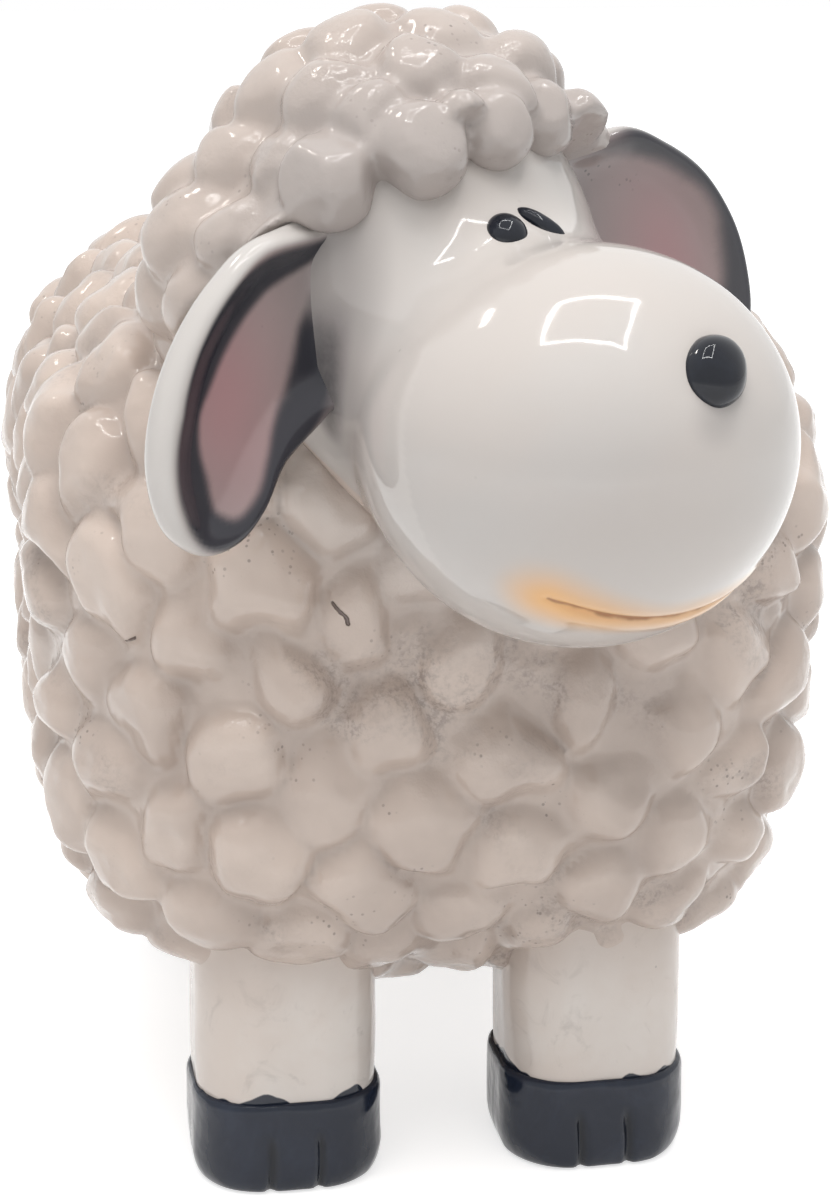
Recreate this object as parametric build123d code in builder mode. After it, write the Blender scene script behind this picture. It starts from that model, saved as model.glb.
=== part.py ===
"""A glazed ceramic sheep figurine, standing, with its head turned to its left.

The figure is slip-cast in pieces that are luted together before firing: a hollow trunk covered in
curls, a head with a cap of curls, a forelock, hanging ears, four hollow legs in dark feet, and a tail.
Millimetres, +Z up, facing -Y, so that the sheep's own left is +X. The ground is z = 0.
"""

import math
import os

import numpy as np
from build123d import *

os.makedirs("parts", exist_ok=True)

# Seams and cuts
seam = 0.2                  # clearance left at every luted seam
overrun = 2.0               # how far a cut runs past the face it goes through

# Trunk, a block with every edge and corner rounded, before its curls
trunk_width = 120.5
trunk_length = 146.0
trunk_height = 112.0
trunk_round = 38.0
trunk_wall = 5.0
trunk_clearance = 29.0      # underside above the ground
trunk_setback = 18.5        # its middle behind the origin
vent_diameter = 8.0         # lets the kiln gases out of the belly

# Curls of the fleece, low domes
curl_pitch = 15.8           # from one curl to the next
curl_radius = 9.0           # roundness of a curl
curl_height = 4.0           # how far a curl stands up
curl_root = 1.2             # how far it goes into the surface
curl_size_shares = (1.0, 0.9, 1.06, 0.95)
curl_start_share = 1.3      # the curls start on an egg this much bigger than the block
curl_push_share = 0.038     # how hard they push each other apart
curl_stride_share = 0.125   # of the pitch, the longest move in one round
curl_rounds = 80

# Head: a ball for the skull, a jaw, and a big egg for the muzzle
head_radius = 27.5
head_wall = 4.5
head_sideset = -7.0         # the skull's middle to the sheep's right of the trunk's middle plane
head_inset = 12.0           # the skull's middle behind the front of the trunk
head_rise = 2.6             # the skull's middle above the top of the trunk
head_turn = 28.5            # degrees to its left
head_tilt = 4.5             # degrees, left ear up
muzzle_reach = 38.3         # muzzle's middle ahead of the skull's
muzzle_drop = 20.9          # and below it
muzzle_sideset = -1.6       # to the sheep's right of the skull's middle plane
muzzle_width = 56.6
muzzle_length = 60.2
muzzle_lift = 8.0           # degrees that its front tips up
jaw_radius = 21.5
jaw_way_share = 0.3         # of the way from the skull to the muzzle
jaw_drop_share = 0.75       # of the muzzle's drop
neck_diameter = 24.0        # collar of the head in the trunk
neck_bore = 16.0
collar_reach = 3.0          # how far a collar comes through the wall it passes

# Mouth, a fine line cut round the front of the muzzle
mouth_slope = 52.0          # degrees below straight ahead
mouth_arc = 88.0            # degrees round the muzzle
mouth_line = 1.6            # width of the cut
mouth_depth = 0.6

# Cap of wool over the top and back of the skull
hood_wall = 5.0
hood_tilt = 42.0            # degrees that the cap's rim rises towards the brow
hood_rise = 1.0             # rim above the skull's middle
brow_tilt = 27.0            # degrees that the row of curls along the brow is tipped up
forelock_count = 5
forelock_radius = 6.9
forelock_seat = 2.0         # middles of its curls above the skull
forelock_rise = 8.4         # and above the middle of the row
forelock_step = 23.5        # degrees from one to the next

# Ears
ear_reach = 28.0            # from the root outwards
ear_reach_left = 26.3       # the same of the left ear
ear_drop = 34.5             # from the root down to the tip
ear_thickness = 6.0
ear_edge = 1.8              # rounding of its edge
ear_scoop = 2.6             # depth of the hollow in its front
ear_scoop_radius = 30.0
ear_turn = 5.0              # degrees that its front looks outwards
ear_splay_left = 14.0       # degrees that the left ear is held out
ear_lift_left = 4.2         # its root above the right one's
ear_root_shares = (0.87, 0.47, 0.11)    # of the skull's radius: out, ahead and up
ear_scoop_shares = (0.55, -0.42)        # of the reach and the drop
ear_outline_shares = (
    (-0.10, 0.20), (0.34, 0.195), (0.63, 0.055), (0.86, -0.14), (1.02, -0.37), (1.09, -0.61), (1.04, -0.84),
    (0.86, -0.97), (0.65, -0.965), (0.48, -0.865), (0.34, -0.71), (0.13, -0.58), (-0.10, -0.52),
)
ear_outline_left_shares = (
    (-0.10, 0.22), (0.34, 0.21), (0.63, 0.06), (0.86, -0.14), (0.99, -0.39), (1.01, -0.63), (0.94, -0.87),
    (0.75, -1.0), (0.53, -0.98), (0.37, -0.85), (0.26, -0.69), (0.10, -0.57), (-0.10, -0.52),
)

# Eyes and nose, small domes
eye_width = 5.4
eye_spacing = 0.7           # bare skin between the eyes
eye_sideset = -1.1          # to the sheep's right of the skull's middle plane
eye_sink = 0.4              # eye's middle inside the skull's surface
eye_rise_share = 0.265      # of the skull's radius
nose_width = 9.6
nose_sink = 0.6
nose_slope = 27.4           # degrees above straight ahead, from the muzzle's middle

# Legs and feet
leg_width = 28.0
leg_round = 10.5
front_leg_spacing = 49.0    # from middle to middle, side to side
rear_leg_spacing = 41.0
front_leg_inset = 25.0      # middles behind the front of the trunk
rear_leg_inset = 18.0       # middles ahead of the back of the trunk
leg_collar = 18.0           # diameter of the collar that goes up through the belly
leg_bore = 12.0
hoof_width = 30.0
hoof_height = 15.0
hoof_round = 11.0
hoof_sole_edge = 3.0
hoof_top_edge = 0.9
hoof_floor = 5.0            # clay under the hollow of a foot
hoof_hollow = 8.0
hoof_spigot = 6.0           # how far a foot goes up into its leg
toe_spacing = 7.6           # between the two grooves in the front of a foot
toe_groove = 1.6
toe_groove_height = 10.5

# Tail, hanging on the rump
tail_radius = 8.0
tail_length = 24.0
tail_rise = 20.0            # its middle above the trunk's
tail_stand = 3.0            # its middle behind the back of the trunk
tail_slope = 14.0           # degrees that its tip stands out
tail_peg = 7.0
tail_curl_share = 0.62      # its curls are smaller

# Places that follow from these
trunk_half = np.array((trunk_width, trunk_length, trunk_height)) / 2
trunk_middle = np.array((0, trunk_setback, trunk_clearance + trunk_height / 2))
trunk_front = trunk_setback - trunk_length / 2
trunk_back = trunk_setback + trunk_length / 2
head_middle = np.array((
    head_sideset,
    trunk_front + head_inset,
    trunk_clearance + trunk_height + head_rise,
))
head_place = Pos(*head_middle) * Rot(Z=head_turn) * Rot(Y=-head_tilt)
hood_radius = head_radius + hood_wall
hood_place = head_place * Rot(X=-hood_tilt)
brow_place = head_place * Rot(X=-brow_tilt)
curl_reach = curl_height * max(curl_size_shares)


def nearest(points, half, radius):
    """The nearest points on a rounded block, and the directions straight out of it there."""
    core = half - radius
    inside = np.clip(points, -core, core)
    out = points - inside
    out = out / np.linalg.norm(out, axis=1)[:, None]
    return inside + radius * out, out


def curl_places(half, radius, pitch):
    """Evenly scattered places over a rounded block: they start on a spiral and push each other apart."""
    a, b, c = 2 * (half - radius)
    area = 2 * (a * b + b * c + c * a) + 2 * math.pi * radius * (a + b + c) + 4 * math.pi * radius ** 2
    count = round(area / (pitch ** 2 * math.sqrt(3) / 2))
    step = np.arange(count) + 0.5
    polar = np.arccos(1 - 2 * step / count)
    turn = math.pi * (1 + math.sqrt(5)) * step
    ball = np.c_[np.cos(turn) * np.sin(polar), np.sin(turn) * np.sin(polar), np.cos(polar)]
    points, out = nearest(ball * half * curl_start_share, half, radius)
    for _ in range(curl_rounds):
        apart = points[:, None] - points[None]
        square = (apart ** 2).sum(axis=2)
        np.fill_diagonal(square, np.inf)
        push = (apart / square[..., None] ** 2).sum(axis=1) * curl_push_share * pitch ** 4
        length = np.linalg.norm(push, axis=1)[:, None]
        push = push * np.minimum(1, curl_stride_share * pitch / length)
        points, out = nearest(points + push, half, radius)
    return points, out


def dome(radius, base):
    """The top of a ball above a level cut. The ball lies on its side, so no pole or seam is on the dome."""
    with BuildPart() as form:
        Sphere(radius, rotation=(0, 90, 0))
        split(bisect_by=Plane.XY.offset(base))
    return form.part


def curl_cap(share):
    """One curl, a low dome that stands on the surface and is rooted a little below it."""
    cap = dome(curl_radius * share, (curl_radius - curl_height - curl_root) * share)
    return Pos(0, 0, (curl_height - curl_radius) * share) * cap


def seats(points, out, place=Location()):
    """A place for each curl, its own Z straight out of the surface."""
    return [
        place * Location(Plane(origin=tuple(point), z_dir=tuple(normal)))
        for point, normal in zip(points.tolist(), out.tolist())
    ]


def trunk_form(grow):
    """The trunk's rounded block, grown or shrunk evenly all round."""
    with BuildPart() as form:
        with Locations(tuple(trunk_middle)):
            Box(*(2 * (trunk_half + grow)).tolist())
        fillet(form.edges(), radius=trunk_round + grow)
    return form.part


muzzle_place = head_place * Pos(muzzle_sideset, -muzzle_reach, -muzzle_drop) * Rot(X=-muzzle_lift)


def head_form(grow):
    """Skull, jaw and muzzle in one, grown or shrunk evenly all round."""
    muzzle_plane = Plane(muzzle_place)
    with BuildPart() as form:
        with BuildSketch(muzzle_plane) as half_egg:
            with BuildLine():
                EllipticalCenterArc(
                    (0, 0), muzzle_width / 2 + grow, muzzle_length / 2 + grow, start_angle=-90, arc_size=180
                )
                Line((0, -muzzle_length / 2 - grow), (0, muzzle_length / 2 + grow))
            make_face()
        revolve(axis=Axis(muzzle_plane.origin, muzzle_plane.y_dir))
        with Locations(head_place):
            Sphere(head_radius + grow, rotation=(0, 0, 90))
        with Locations(head_place * Pos(0, -muzzle_reach * jaw_way_share, -muzzle_drop * jaw_drop_share)):
            Sphere(jaw_radius + grow, rotation=(0, 0, 90))
    return form.part


def hood_form(radius, rim):
    """The ball of the wool cap above its slanting rim."""
    return hood_place * dome(radius, rim)


def forelock_form(grow):
    """The row of large curls along the brow."""
    distance = head_radius + forelock_seat
    ring = math.sqrt(distance ** 2 - forelock_rise ** 2)
    with BuildPart() as form:
        for place in range(forelock_count):
            angle = (place - (forelock_count - 1) / 2) * forelock_step
            with Locations(brow_place * Rot(Z=angle) * Pos(0, -ring, forelock_rise)):
                Sphere(forelock_radius + grow, rotation=(0, 90, 0))
    return form.part


def ear_place(side):
    """The ear's root on the skull, with Z the way its front looks, Y up and X to the sheep's left."""
    out, ahead, up = (share * head_radius for share in ear_root_shares)
    splay, lift = (ear_splay_left, ear_lift_left) if side > 0 else (0, 0)
    root = head_place * Pos(side * out, -ahead, up + lift)
    return root * Rot(X=90) * Rot(Y=side * ear_turn) * Rot(Z=side * splay)


def ear_form(side, grow):
    """The ear's plate, grown evenly all round."""
    reach, shares = (ear_reach_left, ear_outline_left_shares) if side > 0 else (ear_reach, ear_outline_shares)
    edge = np.array(shares) * (reach, ear_drop)
    along = np.roll(edge, -1, axis=0) - np.roll(edge, 1, axis=0)
    outwards = np.c_[-along[:, 1], along[:, 0]] / np.linalg.norm(along, axis=1)[:, None]
    edge = (edge + grow * outwards) * (side, 1)
    with BuildPart() as form:
        with BuildSketch(Plane(ear_place(side))):
            with BuildLine():
                Spline(*[tuple(point) for point in edge.tolist()], periodic=True)
            make_face()
        extrude(amount=ear_thickness / 2 + grow, both=True)
    return form.part


def leg_spots():
    """Name and middle of each leg on the ground."""
    front = trunk_front + front_leg_inset
    rear = trunk_back - rear_leg_inset
    return {
        "front_right": (-front_leg_spacing / 2, front),
        "front_left": (front_leg_spacing / 2, front),
        "rear_right": (-rear_leg_spacing / 2, rear),
        "rear_left": (rear_leg_spacing / 2, rear),
    }


def collar_top(spot):
    """How high a leg's collar stands in the hollow, just above the trunk's inner wall there."""
    core = trunk_half - trunk_round
    across, along = np.maximum(np.abs(np.array(spot) - trunk_middle[:2]) - core[:2], 0)
    inner = trunk_round - trunk_wall
    return trunk_clearance + trunk_round - math.sqrt(inner ** 2 - across ** 2 - along ** 2) + collar_reach


def leg_block(spot, grow):
    """The leg's rounded column from its foot well up into the trunk."""
    with BuildPart() as block:
        with BuildSketch(Plane.XY.offset(hoof_height)):
            with Locations(spot):
                RectangleRounded(leg_width + 2 * grow, leg_width + 2 * grow, leg_round + grow)
        extrude(amount=trunk_clearance + trunk_round - hoof_height)
    return block.part


tail_place = Location((0, trunk_back + tail_stand, trunk_middle[2] + tail_rise)) * Rot(X=tail_slope)
tail_half = np.array((tail_radius, tail_radius, tail_length / 2))


def tail_form(grow):
    """The tail's capsule, grown evenly all round."""
    straight = tail_length / 2 - tail_radius
    with BuildPart() as form:
        with Locations(tail_place):
            Cylinder(tail_radius + grow, 2 * straight)
        with Locations(tail_place * Pos(0, 0, straight), tail_place * Pos(0, 0, -straight)):
            Sphere(tail_radius + grow)
    return form.part


# Room that each piece leaves for its neighbours
head_room = head_form(seam)
trunk_room = trunk_form(seam)
forelock_room = forelock_form(seam)
ear_rooms = [ear_form(side, seam) for side in (-1, 1)]
hood_room = hood_form(hood_radius + curl_reach + seam, hood_rise)
tail_room = tail_form(curl_reach * tail_curl_share + seam)
leg_rooms = [leg_block(spot, seam) for spot in leg_spots().values()]

# The collar of the head, straight into the trunk where the skull is nearest to it
neck_point, neck_out = nearest((head_middle - trunk_middle)[None], trunk_half, trunk_round)
neck_place = seats(neck_point + trunk_middle, neck_out)[0]

# Trunk: curls first, trimmed back from the pieces that stand on it, then the hollow block under them
curl_points, curl_out = curl_places(trunk_half, trunk_round, curl_pitch)
trunk_seats = seats(curl_points + trunk_middle, curl_out)
caps = [curl_cap(share) for share in curl_size_shares]
trunk_block = trunk_form(0)
trunk_hollow = trunk_form(-trunk_wall)
with BuildPart() as fleece_body:
    for turn, cap in enumerate(caps):
        with Locations(*trunk_seats[turn::len(caps)]):
            add(cap)
    for room in (head_room, hood_room, forelock_room, *ear_rooms, tail_room, *leg_rooms):
        add(room, mode=Mode.SUBTRACT)
    add(trunk_block)
    add(trunk_hollow, mode=Mode.SUBTRACT)
    with Locations(neck_place):
        Cylinder(neck_diameter / 2 + seam, neck_diameter + 2 * trunk_wall, mode=Mode.SUBTRACT)
    with Locations(*[(x, y, trunk_clearance) for x, y in leg_spots().values()]):
        Cylinder(leg_collar / 2 + seam, 2 * (trunk_wall + trunk_round / 2), mode=Mode.SUBTRACT)
    with Locations((0, trunk_setback, trunk_clearance)):
        Cylinder(vent_diameter / 2, 2 * (trunk_wall + overrun), mode=Mode.SUBTRACT)
    with Locations(tail_place * Rot(X=90 - tail_slope)):
        Cylinder(tail_peg / 2 + seam, 2 * (tail_stand + trunk_wall + overrun), mode=Mode.SUBTRACT)
fleece_body.part.label = "fleece_body"

# Head: a closed hollow casting whose back wall lies on the trunk, with a collar into the neck hole
head_solid = head_form(0)
head_core = head_form(-head_wall)
back_wall = trunk_form(seam + head_wall)
with BuildPart() as head_hollow:
    add(head_core)
    add(back_wall, mode=Mode.SUBTRACT)

mouth_place = muzzle_place * Rot(X=muzzle_lift + mouth_slope)
mouth_radius = (muzzle_width + muzzle_length) / 4
with BuildPart() as head_shell:
    add(head_solid)
    add(trunk_room, mode=Mode.SUBTRACT)
    add(head_hollow.part, mode=Mode.SUBTRACT)
    with Locations(neck_place * Pos(0, 0, seam + head_wall / 2)):
        Cylinder(
            neck_diameter / 2, trunk_wall + collar_reach + seam + head_wall / 2,
            align=(Align.CENTER, Align.CENTER, Align.MAX),
        )
    with Locations(neck_place):
        Cylinder(neck_bore / 2, 2 * (trunk_wall + collar_reach + head_wall + overrun), mode=Mode.SUBTRACT)
    with BuildSketch(Plane(mouth_place * Rot(Z=-mouth_arc / 2) * Rot(Y=90))) as mouth_section:
        with Locations((0, -mouth_radius + mouth_depth - mouth_line / 2)):
            Circle(mouth_line / 2)
    revolve(
        axis=Axis(Plane(mouth_place).origin, Plane(mouth_place).z_dir),
        revolution_arc=mouth_arc, mode=Mode.SUBTRACT,
    )
head_shell.part.label = "head_shell"

# Wool cap over the skull, with its own curls
hood_half = np.array((hood_radius, hood_radius, hood_radius))
hood_points, hood_out = curl_places(hood_half, hood_radius, curl_pitch)
on_hood = hood_points[:, 2] > hood_rise + curl_radius / 2
hood_seats = seats(hood_points[on_hood], hood_out[on_hood], hood_place)
hood_ball = hood_form(hood_radius, hood_rise)
with BuildPart() as wool_hood:
    add(hood_ball)
    for turn, cap in enumerate(caps):
        with Locations(*hood_seats[turn::len(caps)]):
            add(cap)
    for room in (head_room, trunk_room, forelock_room, *ear_rooms):
        add(room, mode=Mode.SUBTRACT)
wool_hood.part.label = "wool_hood"

forelock_row = forelock_form(0)
with BuildPart() as forelock:
    add(forelock_row)
    for room in (head_room, *ear_rooms):
        add(room, mode=Mode.SUBTRACT)
forelock.part.label = "forelock"

# Ears, hollowed in front and trimmed where they meet the head and the shoulder
ears = {}
for name, side in (("ear_right", -1), ("ear_left", 1)):
    across, down = ear_scoop_shares
    plate = ear_form(side, 0)
    with BuildPart() as ear:
        add(plate)
        fillet(ear.edges().filter_by(GeomType.BSPLINE), radius=ear_edge)
        with Locations(ear_place(side) * Pos(side * across * ear_reach, down * ear_drop,
                                             ear_thickness / 2 - ear_scoop + ear_scoop_radius)):
            Sphere(ear_scoop_radius, mode=Mode.SUBTRACT)
        add(head_room, mode=Mode.SUBTRACT)
        add(trunk_room, mode=Mode.SUBTRACT)
    ear.part.label = name
    ears[name] = ear.part

# Eyes and nose, domes that sit on the skin
eyes = {}
for name, side in (("eye_right", -1), ("eye_left", 1)):
    eye_out = eye_sideset + side * (eye_width + eye_spacing) / 2
    eye_up = eye_rise_share * head_radius
    eye_ahead = math.sqrt((head_radius - eye_sink) ** 2 - eye_out ** 2 - eye_up ** 2)
    with BuildPart() as eye:
        with Locations(head_place * Pos(eye_out, -eye_ahead, eye_up)):
            Sphere(eye_width / 2)
        add(head_room, mode=Mode.SUBTRACT)
    eye.part.label = name
    eyes[name] = eye.part

nose_angle = math.radians(nose_slope - muzzle_lift)
nose_distance = 1 / math.hypot(
    math.cos(nose_angle) / (muzzle_length / 2), math.sin(nose_angle) / (muzzle_width / 2)
) - nose_sink
with BuildPart() as nose:
    with Locations(muzzle_place * Rot(X=-math.degrees(nose_angle)) * Pos(0, -nose_distance, 0)):
        Sphere(nose_width / 2)
    add(head_room, mode=Mode.SUBTRACT)
nose.part.label = "nose"

# Legs, hollow, with a collar up through the belly; feet with a spigot up into the leg
legs = {}
hooves = {}
for name, spot in leg_spots().items():
    top = collar_top(spot)
    column = leg_block(spot, 0)
    with BuildPart() as leg:
        add(column)
        add(trunk_room, mode=Mode.SUBTRACT)
        with Locations((*spot, top)):
            Cylinder(leg_collar / 2, top - hoof_height, align=(Align.CENTER, Align.CENTER, Align.MAX))
        with Locations((*spot, top)):
            Cylinder(
                leg_bore / 2, top - hoof_height, align=(Align.CENTER, Align.CENTER, Align.MAX), mode=Mode.SUBTRACT,
            )
    leg.part.label = "leg_" + name
    legs["leg_" + name] = leg.part

    with BuildPart() as hoof:
        with BuildSketch():
            with Locations(spot):
                RectangleRounded(hoof_width, hoof_width, hoof_round)
        extrude(amount=hoof_height - seam)
        fillet(hoof.faces().sort_by(Axis.Z)[0].edges(), radius=hoof_sole_edge)
        fillet(hoof.faces().sort_by(Axis.Z)[-1].edges(), radius=hoof_top_edge)
        with Locations((*spot, hoof_height + hoof_spigot)):
            Cylinder(leg_bore / 2 - seam, hoof_spigot + seam, align=(Align.CENTER, Align.CENTER, Align.MAX))
        with Locations((*spot, hoof_height + hoof_spigot)):
            Cylinder(
                hoof_hollow / 2, hoof_height + hoof_spigot - hoof_floor,
                align=(Align.CENTER, Align.CENTER, Align.MAX), mode=Mode.SUBTRACT,
            )
        with Locations(*[(spot[0] + side * toe_spacing / 2, spot[1] - hoof_width / 2, 0) for side in (-1, 1)]):
            Cylinder(
                toe_groove / 2, toe_groove_height, align=(Align.CENTER, Align.CENTER, Align.MIN),
                mode=Mode.SUBTRACT,
            )
    hoof.part.label = "hoof_" + name
    hooves["hoof_" + name] = hoof.part

# Tail, a small capsule of wool, pegged into the rump
tail_points, tail_out = curl_places(tail_half, tail_radius, curl_pitch * tail_curl_share)
tail_seats = seats(tail_points, tail_out, tail_place)
tail_core = tail_form(0)
with BuildPart() as tail:
    add(tail_core)
    with Locations(*[seat * Pos(0, 0, (curl_height - curl_radius) * tail_curl_share) for seat in tail_seats]):
        Sphere(curl_radius * tail_curl_share)
    add(trunk_room, mode=Mode.SUBTRACT)
    with Locations(tail_place * Rot(X=90 - tail_slope)):
        Cylinder(
            tail_peg / 2, tail_stand + trunk_wall + collar_reach, align=(Align.CENTER, Align.CENTER, Align.MIN),
        )
tail.part.label = "tail"

pieces = {
    "fleece_body": fleece_body.part,
    "head_shell": head_shell.part,
    "wool_hood": wool_hood.part,
    "forelock": forelock.part,
    "nose": nose.part,
    "tail": tail.part,
    **ears,
    **eyes,
    **legs,
    **hooves,
}
for name, piece in pieces.items():
    export_step(piece, f"parts/{name}.step")
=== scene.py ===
"""The looks of a glazed ceramic sheep figurine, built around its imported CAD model.

Laid out as a Blender add-on and run as a script. Metres, +Z up, the sheep faces -Y and its own left is +X.
"""

import math

import bmesh
import bpy
import numpy as np
from bpy.props import FloatProperty, FloatVectorProperty, PointerProperty
from mathutils import Matrix, Vector, noise


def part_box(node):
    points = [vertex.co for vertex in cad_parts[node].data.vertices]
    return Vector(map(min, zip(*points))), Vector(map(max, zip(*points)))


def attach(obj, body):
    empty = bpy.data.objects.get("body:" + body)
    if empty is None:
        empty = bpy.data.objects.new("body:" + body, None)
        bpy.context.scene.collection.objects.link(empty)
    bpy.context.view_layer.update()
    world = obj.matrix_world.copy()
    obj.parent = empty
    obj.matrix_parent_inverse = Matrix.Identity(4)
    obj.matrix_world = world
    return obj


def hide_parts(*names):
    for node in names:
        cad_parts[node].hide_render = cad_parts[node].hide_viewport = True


bl_info = {
    "name": "Ceramic sheep",
    "version": (1, 0, 0),
    "blender": (4, 5, 0),
    "location": "3D view > Sidebar > Sheep",
    "description": "Builds the fleece, face, ears and feet of a glazed ceramic sheep around its CAD model",
    "category": "Object",
}

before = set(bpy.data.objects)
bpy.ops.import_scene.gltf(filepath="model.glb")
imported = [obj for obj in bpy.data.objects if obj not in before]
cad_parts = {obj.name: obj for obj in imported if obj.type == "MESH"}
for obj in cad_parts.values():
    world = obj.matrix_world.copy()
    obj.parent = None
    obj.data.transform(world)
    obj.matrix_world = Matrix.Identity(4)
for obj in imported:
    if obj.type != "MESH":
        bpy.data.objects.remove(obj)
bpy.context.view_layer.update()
MM = 0.001


# Sizes and colours that a user would change

def length(name, description, default):
    return FloatProperty(
        name=name, description=description, default=default, unit="LENGTH", subtype="DISTANCE",
    )


def angle(name, description, degrees):
    return FloatProperty(
        name=name, description=description, default=math.radians(degrees), unit="ROTATION", subtype="ANGLE",
    )


def place(name, description, default):
    return FloatVectorProperty(
        name=name, description=description, default=default, unit="LENGTH", subtype="XYZ",
    )


def colour(name, description, default):
    return FloatVectorProperty(
        name=name, description=description, default=default, size=3, min=0, max=1, subtype="COLOR",
    )


class SheepFleece(bpy.types.PropertyGroup):
    """The woolly surfaces."""
    trunk_size: place("Trunk", "Width, length and height under the curls", (0.1205, 0.146, 0.112))
    trunk_round: length("Trunk rounding", "Radius of every edge and corner of the trunk", 0.038)
    trunk_middle: place("Trunk middle", "Middle of the trunk", (0, 0.0185, 0.085))
    curl_pitch: length("Curl pitch", "From one curl to the next", 0.0158)
    curl_height: length("Curl height", "How far a curl stands up", 0.0047)
    cap_curl_share: FloatProperty(
        name="Cap curls", description="Pitch of the cap's curls, as a share of the fleece's", default=0.78,
    )
    hood_radius: length("Cap radius", "Radius of the wool cap under its curls", 0.0325)
    brow_tilt: angle("Brow tilt", "How far the row of curls along the brow is tipped up", 27)
    hood_tilt: angle("Cap tilt", "How far the cap's lower edge is tipped up towards the brow", 42)
    hood_rise: length("Cap rise", "The cap's lower edge above the middle of the skull", 0.001)
    forelock_radius: length("Forelock curl", "Radius of the curls along the brow", 0.0064)
    forelock_step: angle("Forelock step", "From one brow curl to the next, seen from above", 23.5)
    forelock_rise: length("Forelock rise", "Brow curls above the skull's middle, square to the brow", 0.0084)
    forelock_seat: length("Forelock seat", "Middles of the brow curls above the skin", 0.002)
    tail_radius: length("Tail radius", "Radius of the tail under its curls", 0.008)
    tail_length: length("Tail length", "Length of the tail under its curls", 0.024)
    tail_middle: place("Tail middle", "Middle of the tail", (0, 0.0945, 0.105))
    tail_slope: angle("Tail slope", "How far the tip of the tail stands out", 14)


class SheepHead(bpy.types.PropertyGroup):
    """The smooth head and what sits on it."""
    middle: place("Skull middle", "Middle of the skull", (-0.007, -0.0425, 0.1436))
    turned: angle("Turn", "How far the head is turned to the sheep's left", 28.5)
    tilt: angle("Tilt", "How far the head is tilted, left ear up", 4.5)
    radius: length("Skull radius", "Radius of the skull", 0.0275)
    muzzle_middle: place("Muzzle middle", "From the skull's middle to the muzzle's", (-0.0016, -0.0383, -0.0209))
    muzzle_size: place("Muzzle", "Width, length and height of the muzzle", (0.0572, 0.0602, 0.0545))
    muzzle_lift: angle("Muzzle lift", "How far the muzzle's front tips up", 8)
    jaw_middle: place("Jaw middle", "From the skull's middle to the jaw's", (0, -0.0115, -0.0157))
    jaw_radius: length("Jaw radius", "Radius of the jaw", 0.0215)
    blend: length("Blend", "Width of the soft join between skull, jaw and muzzle", 0.011)
    mouth_slope: angle("Mouth slope", "Middle of the mouth below straight ahead", 52)
    mouth_arc: angle("Mouth arc", "How far the mouth goes round the muzzle", 88)
    mouth_width: length("Mouth line", "Width of the engraved mouth line", 0.0011)
    mouth_depth: length("Mouth depth", "Depth of the engraved mouth line", 0.0007)
    ear_reach: length("Ear reach", "From the root of the right ear outwards", 0.028)
    ear_reach_left: length("Left ear reach", "From the root of the left ear outwards", 0.0263)
    ear_drop: length("Ear drop", "From the root of an ear down to its tip", 0.0345)
    ear_thickness: length("Ear thickness", "Thickness of an ear at its rim", 0.006)
    ear_scoop: length("Ear scoop", "Depth of the hollow in the front of an ear", 0.0034)
    ear_turn: angle("Ear turn", "How far the front of an ear looks outwards", 5)
    ear_splay_left: angle("Left ear splay", "How far the left ear is held out", 14)
    ear_lift_left: length("Left ear lift", "Root of the left ear above the right one's", 0.0042)
    eye_width: length("Eye width", "Width of an eye", 0.0054)
    eye_spacing: length("Eye spacing", "From the middle of one eye to the other", 0.0061)
    eye_sideset: length("Eye sideset", "Middle between the eyes, to the sheep's left of the skull's", -0.0011)
    eye_lift: angle("Eye lift", "Rise of the eyes from the middle of the skull", 15.4)
    nose_width: length("Nose width", "Width of the nose", 0.0096)
    nose_slope: angle("Nose slope", "Rise of the nose on the front of the muzzle", 27.4)


class SheepFeet(bpy.types.PropertyGroup):
    """Legs and hooves. Their places come from the CAD model."""
    leg_round: length("Leg rounding", "Rounding of a leg's corners", 0.0105)
    leg_above: length("Leg above", "How far a leg reaches up into the trunk", 0.006)
    hoof_round: length("Hoof rounding", "Rounding of a hoof's corners", 0.011)
    toe_spacing: length("Toe spacing", "Between the two grooves in the front of a hoof", 0.0076)
    toe_groove: length("Toe groove", "Width of a groove", 0.0016)
    toe_height: length("Toe groove height", "Height of a groove above the ground", 0.0105)


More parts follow.
